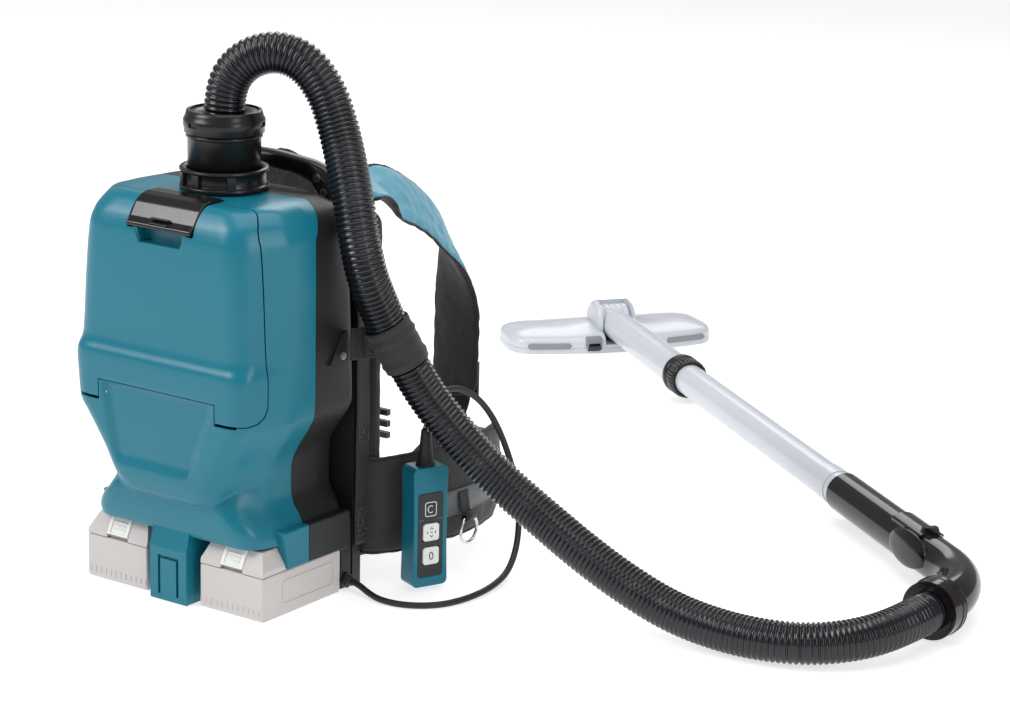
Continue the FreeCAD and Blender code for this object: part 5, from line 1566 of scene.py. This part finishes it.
straps = fused("harness_webbing", web_right, web_left, tail_right, tail_left, ring_tab, ring_loop, side_web,
               side_web_left)
ride(straps, "unit", "strap_webbing", slot="black_webbing")
threads = fused("harness_stitching", box_thread, box_thread_left)
ride(threads, "unit", slot="black_webbing")

# ------------------------------------------------------------------ the hose loop's tail and the adjusters

tail = webbing("hose_tail", [(0.1172, 0.0560, 0.2405), (0.1215, 0.0665, 0.2405), (0.1315, 0.0805, 0.2415),
                             (0.1430, 0.0915, 0.2430)], 0.0300, 0.0022, Vector((0, 0, 1)), 30, 0.0003)
flap = webbing("hose_flap", [(0.1245, 0.0668, 0.2405), (0.1325, 0.0775, 0.2412), (0.1405, 0.0855, 0.2420),
                             (0.1490, 0.0915, 0.2430)], 0.0260, 0.0020, Vector((0, 0, 1)), 24, 0.0002)
flap.data.transform(Matrix.Translation((0.0016, -0.0014, 0)))
loop = fused("hose_loop", loop, tail, flap)
ride(loop, "unit", "hose_band", slot="black_webbing")
outward = Vector((0.8, -0.6, 0)).normalized()
box_middle = Vector((0.1330, 0.0748, 0.2410)) + outward * 0.0012
box_sewn = stitches("hose_thread", crossed_box(box_middle, Vector((0.62, 0.78, 0)).normalized(),
                                               Vector((0, 0, 1)), outward, 0.0085, 0.0095))
ride(box_sewn, "unit", slot="black_webbing")

adjusters = []
for side_sign, lean in ((-1, 0.0860), (1, 0.0790)):
    bars = [brick("bar", (lean - 0.0175, 0.2808, low), (lean + 0.0175, 0.2848, low + 0.0048), satin_black)
            for low in (0.1385, 0.1500, 0.1615, 0.1690)]
    bars += [brick("post", (lean + low, 0.2808, 0.1385), (lean + low + 0.0042, 0.2846, 0.1738), satin_black)
             for low in (-0.0185, 0.0143)]
    piece = fused("adjuster", *[bevelled(bar, 0.0009, 3) for bar in bars])
    if side_sign < 0:
        flipped(piece.data)
    adjusters.append(piece)
ride(fused("strap_sliders", *adjusters), "unit", "strap_adjusters", slot="black_shell")

# ------------------------------------------------------------------ the wand: lock ring, neck and floor head

ALONG, ACROSS = Vector((-0.80073, 0.59902, 0)), Vector((-0.59902, -0.80073, 0))
WAND = Matrix(((ALONG.x, ACROSS.x, 0, 0.362), (ALONG.y, ACROSS.y, 0, 0.552), (0, 0, 1, 0.028), (0, 0, 0, 1)))


def ribbed_ring(name, start, sections, ribs, material):
    """A ring about the local X axis: sections of (along, radius, rib depth), and a plain bore."""
    segments = 240
    corners = []
    for along, radius, depth in sections:
        for step in range(segments):
            turn = 2 * math.pi * step / segments
            lift = 0.5 + 0.5 * math.cos(ribs * turn)
            reach = radius - depth * (1 - lift ** 0.6)
            corners.append((start + along, math.cos(turn) * reach, math.sin(turn) * reach))
    faces = grid_faces(len(sections), segments) + joining_faces(len(sections), segments)
    return outward_faces(from_lists(name, corners, faces, material))


lock = ribbed_ring("slip_ring", 0.435, [
    (0.0002, 0.0186, 0), (0, 0.0205, 0), (0.0006, 0.0213, 0), (0.0030, 0.0215, 0), (0.0034, 0.0222, 0.0009),
    (0.0048, 0.0229, 0.0013), (0.0180, 0.0229, 0.0013), (0.0194, 0.0222, 0.0009), (0.0198, 0.0216, 0),
    (0.0225, 0.0216, 0), (0.0231, 0.0224, 0), (0.0238, 0.0230, 0), (0.0298, 0.0230, 0), (0.0308, 0.0222, 0),
    (0.0310, 0.0205, 0), (0.0308, 0.0186, 0)], 34, satin_black)
placed(lock, WAND)
ride(lock, "wand", "lock_ring", slot="black_shell")

TIP = Vector((-0.33107, 0.05212, 0))
TIP_HEADING = Vector((-0.59902, 0.80073, 0))
lips = []
for along, radius in ((0.0010, 0.0279), (0.0072, 0.0282)):
    lips.append(lathe("lip", [(radius - 0.0022, along - 0.0016), (radius - 0.0006, along - 0.0013),
                              (radius, along), (radius - 0.0006, along + 0.0013),
                              (radius - 0.0022, along + 0.0016)], TIP, TIP_HEADING, pipe_black, 72))
lips = placed(fused("collar_lips", *lips), WAND)
ride(lips, "wand", slot="pipe_black")

swelling_profile = [(max(0.0001, 0.0165 * math.sqrt(1 - share * share)), share * 0.040)
                    for share in np.linspace(-1, 1, 33)]
bulge = lathe("pipe_bulge", swelling_profile, (0, 0, 0), (1, 0, 0), pipe_black, 64)
bulge.data.transform(Matrix.Translation((-0.190, 0.0192, 0.0046)) @ Matrix.Rotation(0.23, 4, "X")
                     @ Matrix.Diagonal((1, 0.26, 1, 1)))
placed(bulge, WAND)
ride(bulge, "wand", slot="pipe_black")

DOME = Vector((0.706, 0, 0.003))
NECK_START = Vector((0.4664, 0, 0))
neck_tube = lathe("neck_tube", [(0.0150, -0.034), (0.0161, -0.034), (0.0161, -0.0002), (0.0193, 0),
                                (0.0193, 0.0108), (0.0188, 0.0120), (0.0186, 0.0135), (0.0187, 0.060),
                                (0.0186, 0.150), (0.0183, 0.205), (0.0176, 0.225), (0.0150, 0.238),
                                (0.0140, 0.238), (0.0140, -0.030)], NECK_START, DOME - NECK_START, white,
                  88)
barrel = lathe("neck_barrel", [(0.0001, -0.0188), (0.0172, -0.0188), (0.0196, -0.0182), (0.0204, -0.0166),
                               (0.0204, -0.0120), (0.0198, -0.0116), (0.0198, -0.0110), (0.0204, -0.0106),
                               (0.0204, -0.0040), (0.0199, -0.0036), (0.0199, -0.0030), (0.0204, -0.0026),
                               (0.0204, 0.0026), (0.0199, 0.0030), (0.0199, 0.0036), (0.0204, 0.0040),
                               (0.0204, 0.0106), (0.0198, 0.0110), (0.0198, 0.0116), (0.0204, 0.0120),
                               (0.0204, 0.0166), (0.0196, 0.0182), (0.0172, 0.0188), (0.0001, 0.0188)],
               DOME, (0, 1, 0), white, 96)
neck = placed(fused("swivel_neck", neck_tube, barrel), WAND)
ride(neck, "neck", "nozzle_neck", slot="white_gloss")

HEAD_X, HALF_LONG, HALF_DEEP, BASE = 0.730, 0.131, 0.046, -0.0276
PLAN = [(-HALF_DEEP, -HALF_LONG + 0.012), (-HALF_DEEP - 0.016, -0.030), (-HALF_DEEP - 0.016, 0.030),
        (-HALF_DEEP, HALF_LONG - 0.012), (0.010 - HALF_DEEP, HALF_LONG),
        (HALF_DEEP - 0.010, HALF_LONG - 0.003), (HALF_DEEP, HALF_LONG - 0.014),
        (HALF_DEEP, 0.014 - HALF_LONG), (HALF_DEEP - 0.010, 0.003 - HALF_LONG),
        (0.010 - HALF_DEEP, -HALF_LONG)]


def soft_plan():
    """The head's outline from above, with its corners rounded off."""
    count, reach = 260, 9
    corners = [Vector((x, y, 0)) for x, y in PLAN]
    dense = resampled(corners + corners[:1], count + 1)[:count]
    return [sum((dense[(index + step) % count] for step in range(-reach, reach + 1)), Vector())
            / (2 * reach + 1) for index in range(count)]


def head_top(x, y):
    """How much the middle of the head swells up towards the hood."""
    return 0.0060 * math.exp(-((x + 0.020) / 0.034) ** 2 - (y / 0.040) ** 2)


HEAD_RINGS = [(0.035, 0.0), (0.004, 0.0), (0.0, 0.0006), (0.0, 0.0056), (0.010, 0.0060), (0.010, 0.0068),
              (0.0, 0.0072), (0.0, 0.0128), (0.012, 0.0150), (0.04, 0.0170), (0.08, 0.0184), (0.14, 0.0198),
              (0.20, 0.0208), (0.27, 0.0218), (0.34, 0.0227), (0.42, 0.0235), (0.50, 0.0243),
              (0.58, 0.0249), (0.66, 0.0254), (0.74, 0.0258), (0.82, 0.0261), (0.90, 0.0263),
              (0.97, 0.0264)]
outline = soft_plan()
corners = []
for share, level in HEAD_RINGS:
    for point in outline:
        spine = Vector((-0.004, max(-0.082, min(0.082, point.y)), 0))
        spot = point.lerp(spine, share)
        rise = head_top(spot.x, spot.y) if level > 0.0135 else 0
        corners.append((HEAD_X + spot.x, spot.y,
                        BASE + level + rise * min(1, (level - 0.0135) / 0.006) if rise else BASE + level))
count = len(outline)
faces = grid_faces(len(HEAD_RINGS), count) + end_faces(len(HEAD_RINGS), count)
head = from_lists("floor_head", corners, faces, white)
hood = lathe("hood", [(0.0001, -0.0250), (0.0175, -0.0250), (0.0225, -0.0241), (0.0254, -0.0214),
                      (0.0264, -0.0175), (0.0264, 0.0175), (0.0254, 0.0214), (0.0225, 0.0241),
                      (0.0175, 0.0250), (0.0001, 0.0250)], DOME, (0, 1, 0), white, 96)
slicer = brick("slicer", (0.6, -0.1, -0.2), (0.8, 0.1, BASE + 0.004), white)
cut_out(hood, slicer)
boolean(head, hood, "UNION")
room = lathe("room", [(0.0001, -0.0192), (0.0208, -0.0192), (0.0208, 0.0192), (0.0001, 0.0192)], DOME,
             (0, 1, 0), white, 96)
trough = brick("trough", (DOME.x - 0.080, -0.0191, DOME.z - 0.0205), (DOME.x + 0.012, 0.0191, 0.060), white)
lever_room = brick("lever_room", (HEAD_X - 0.090, 0.0265, BASE + 0.003),
                   (HEAD_X - 0.050, 0.0415, BASE + 0.013), white)
slot_room = brick("slot_room", (HEAD_X - 0.013, -0.115, BASE - 0.002),
                  (HEAD_X + 0.022, 0.115, BASE + 0.012), white)
cut_out(head, room, trough, lever_room, slot_room)
bevelled(head, 0.0007, 2, 38)
housing = rounded_plate("housing", (0.034, BASE + 0.0135), 0.0100, 0.0075, 0.0030, HEAD_X - 0.0630,
                        HEAD_X - 0.0560, 0, strip_grey, 0.0008)
cut_out(housing, brick("housing_hole", (HEAD_X - 0.07, 0.0266, BASE + 0.0035),
                       (HEAD_X - 0.05, 0.0414, BASE + 0.0128), strip_grey))
placed(head, WAND)
placed(housing, WAND)
ride(head, "head", "nozzle_head", slot="white_gloss")
ride(housing, "head", slot="dark_plastic")

strips = []
for sign in (-1, 1):
    start = Vector((HEAD_X - HALF_DEEP, sign * (HALF_LONG - 0.012), BASE + 0.0098))
    end = Vector((HEAD_X - HALF_DEEP - 0.016, sign * 0.030, BASE + 0.0098))
    line = [start.lerp(end, share) for share in np.linspace(0.06, 0.64, 26)]
    line = [point - Vector((0.0004, 0, 0)) for point in line]
    strips.append(band("strip", line, lambda share: oval(0.0033 * min(1, 0.4 + 30 * min(share, 1 - share)),
                                                         0.0019, 3.0, 20), strip_grey, Vector((0, 0, 1))))
ride(placed(fused("head_strips", *strips), WAND), "head", "nozzle_bumpers", slot="grey_rubber")


# ------------------------------------------------------------------ finishes of the CAD nodes in view

FINISHES = [
    (rubber, ("lid_seal", "motor_mounts", "cable_gland", "brush_strip")),
    (steel, ("hinge_pins", "motor_bearings", "outer_screws", "casing_screws")),
    (panel_dark, ("filter_frame", "motor_housing", "exhaust_grille", "battery_terminals", "brush_lever")),
    (paper, ("pleated_filter",)),
    (fleece, ("dust_bag",)),
    (card, ("bag_plate",)),
    (lamination, ("motor_stator", "motor_rotor")),
    (fan_metal, ("motor_fan",)),
    (board, ("control_board",)),
    (black, ("harness_plate", "band_anchor")),
    (satin_black, ("belt_buckle",)),
    (chrome, ("belt_ring",)),
    (pipe_black, ("bent_pipe", "hose_end_cuff", "air_slide")),
    (white, ("straight_pipe",)),
]
for finish, painted in FINISHES:
    for node_name in painted:
        paint(node_name, finish)
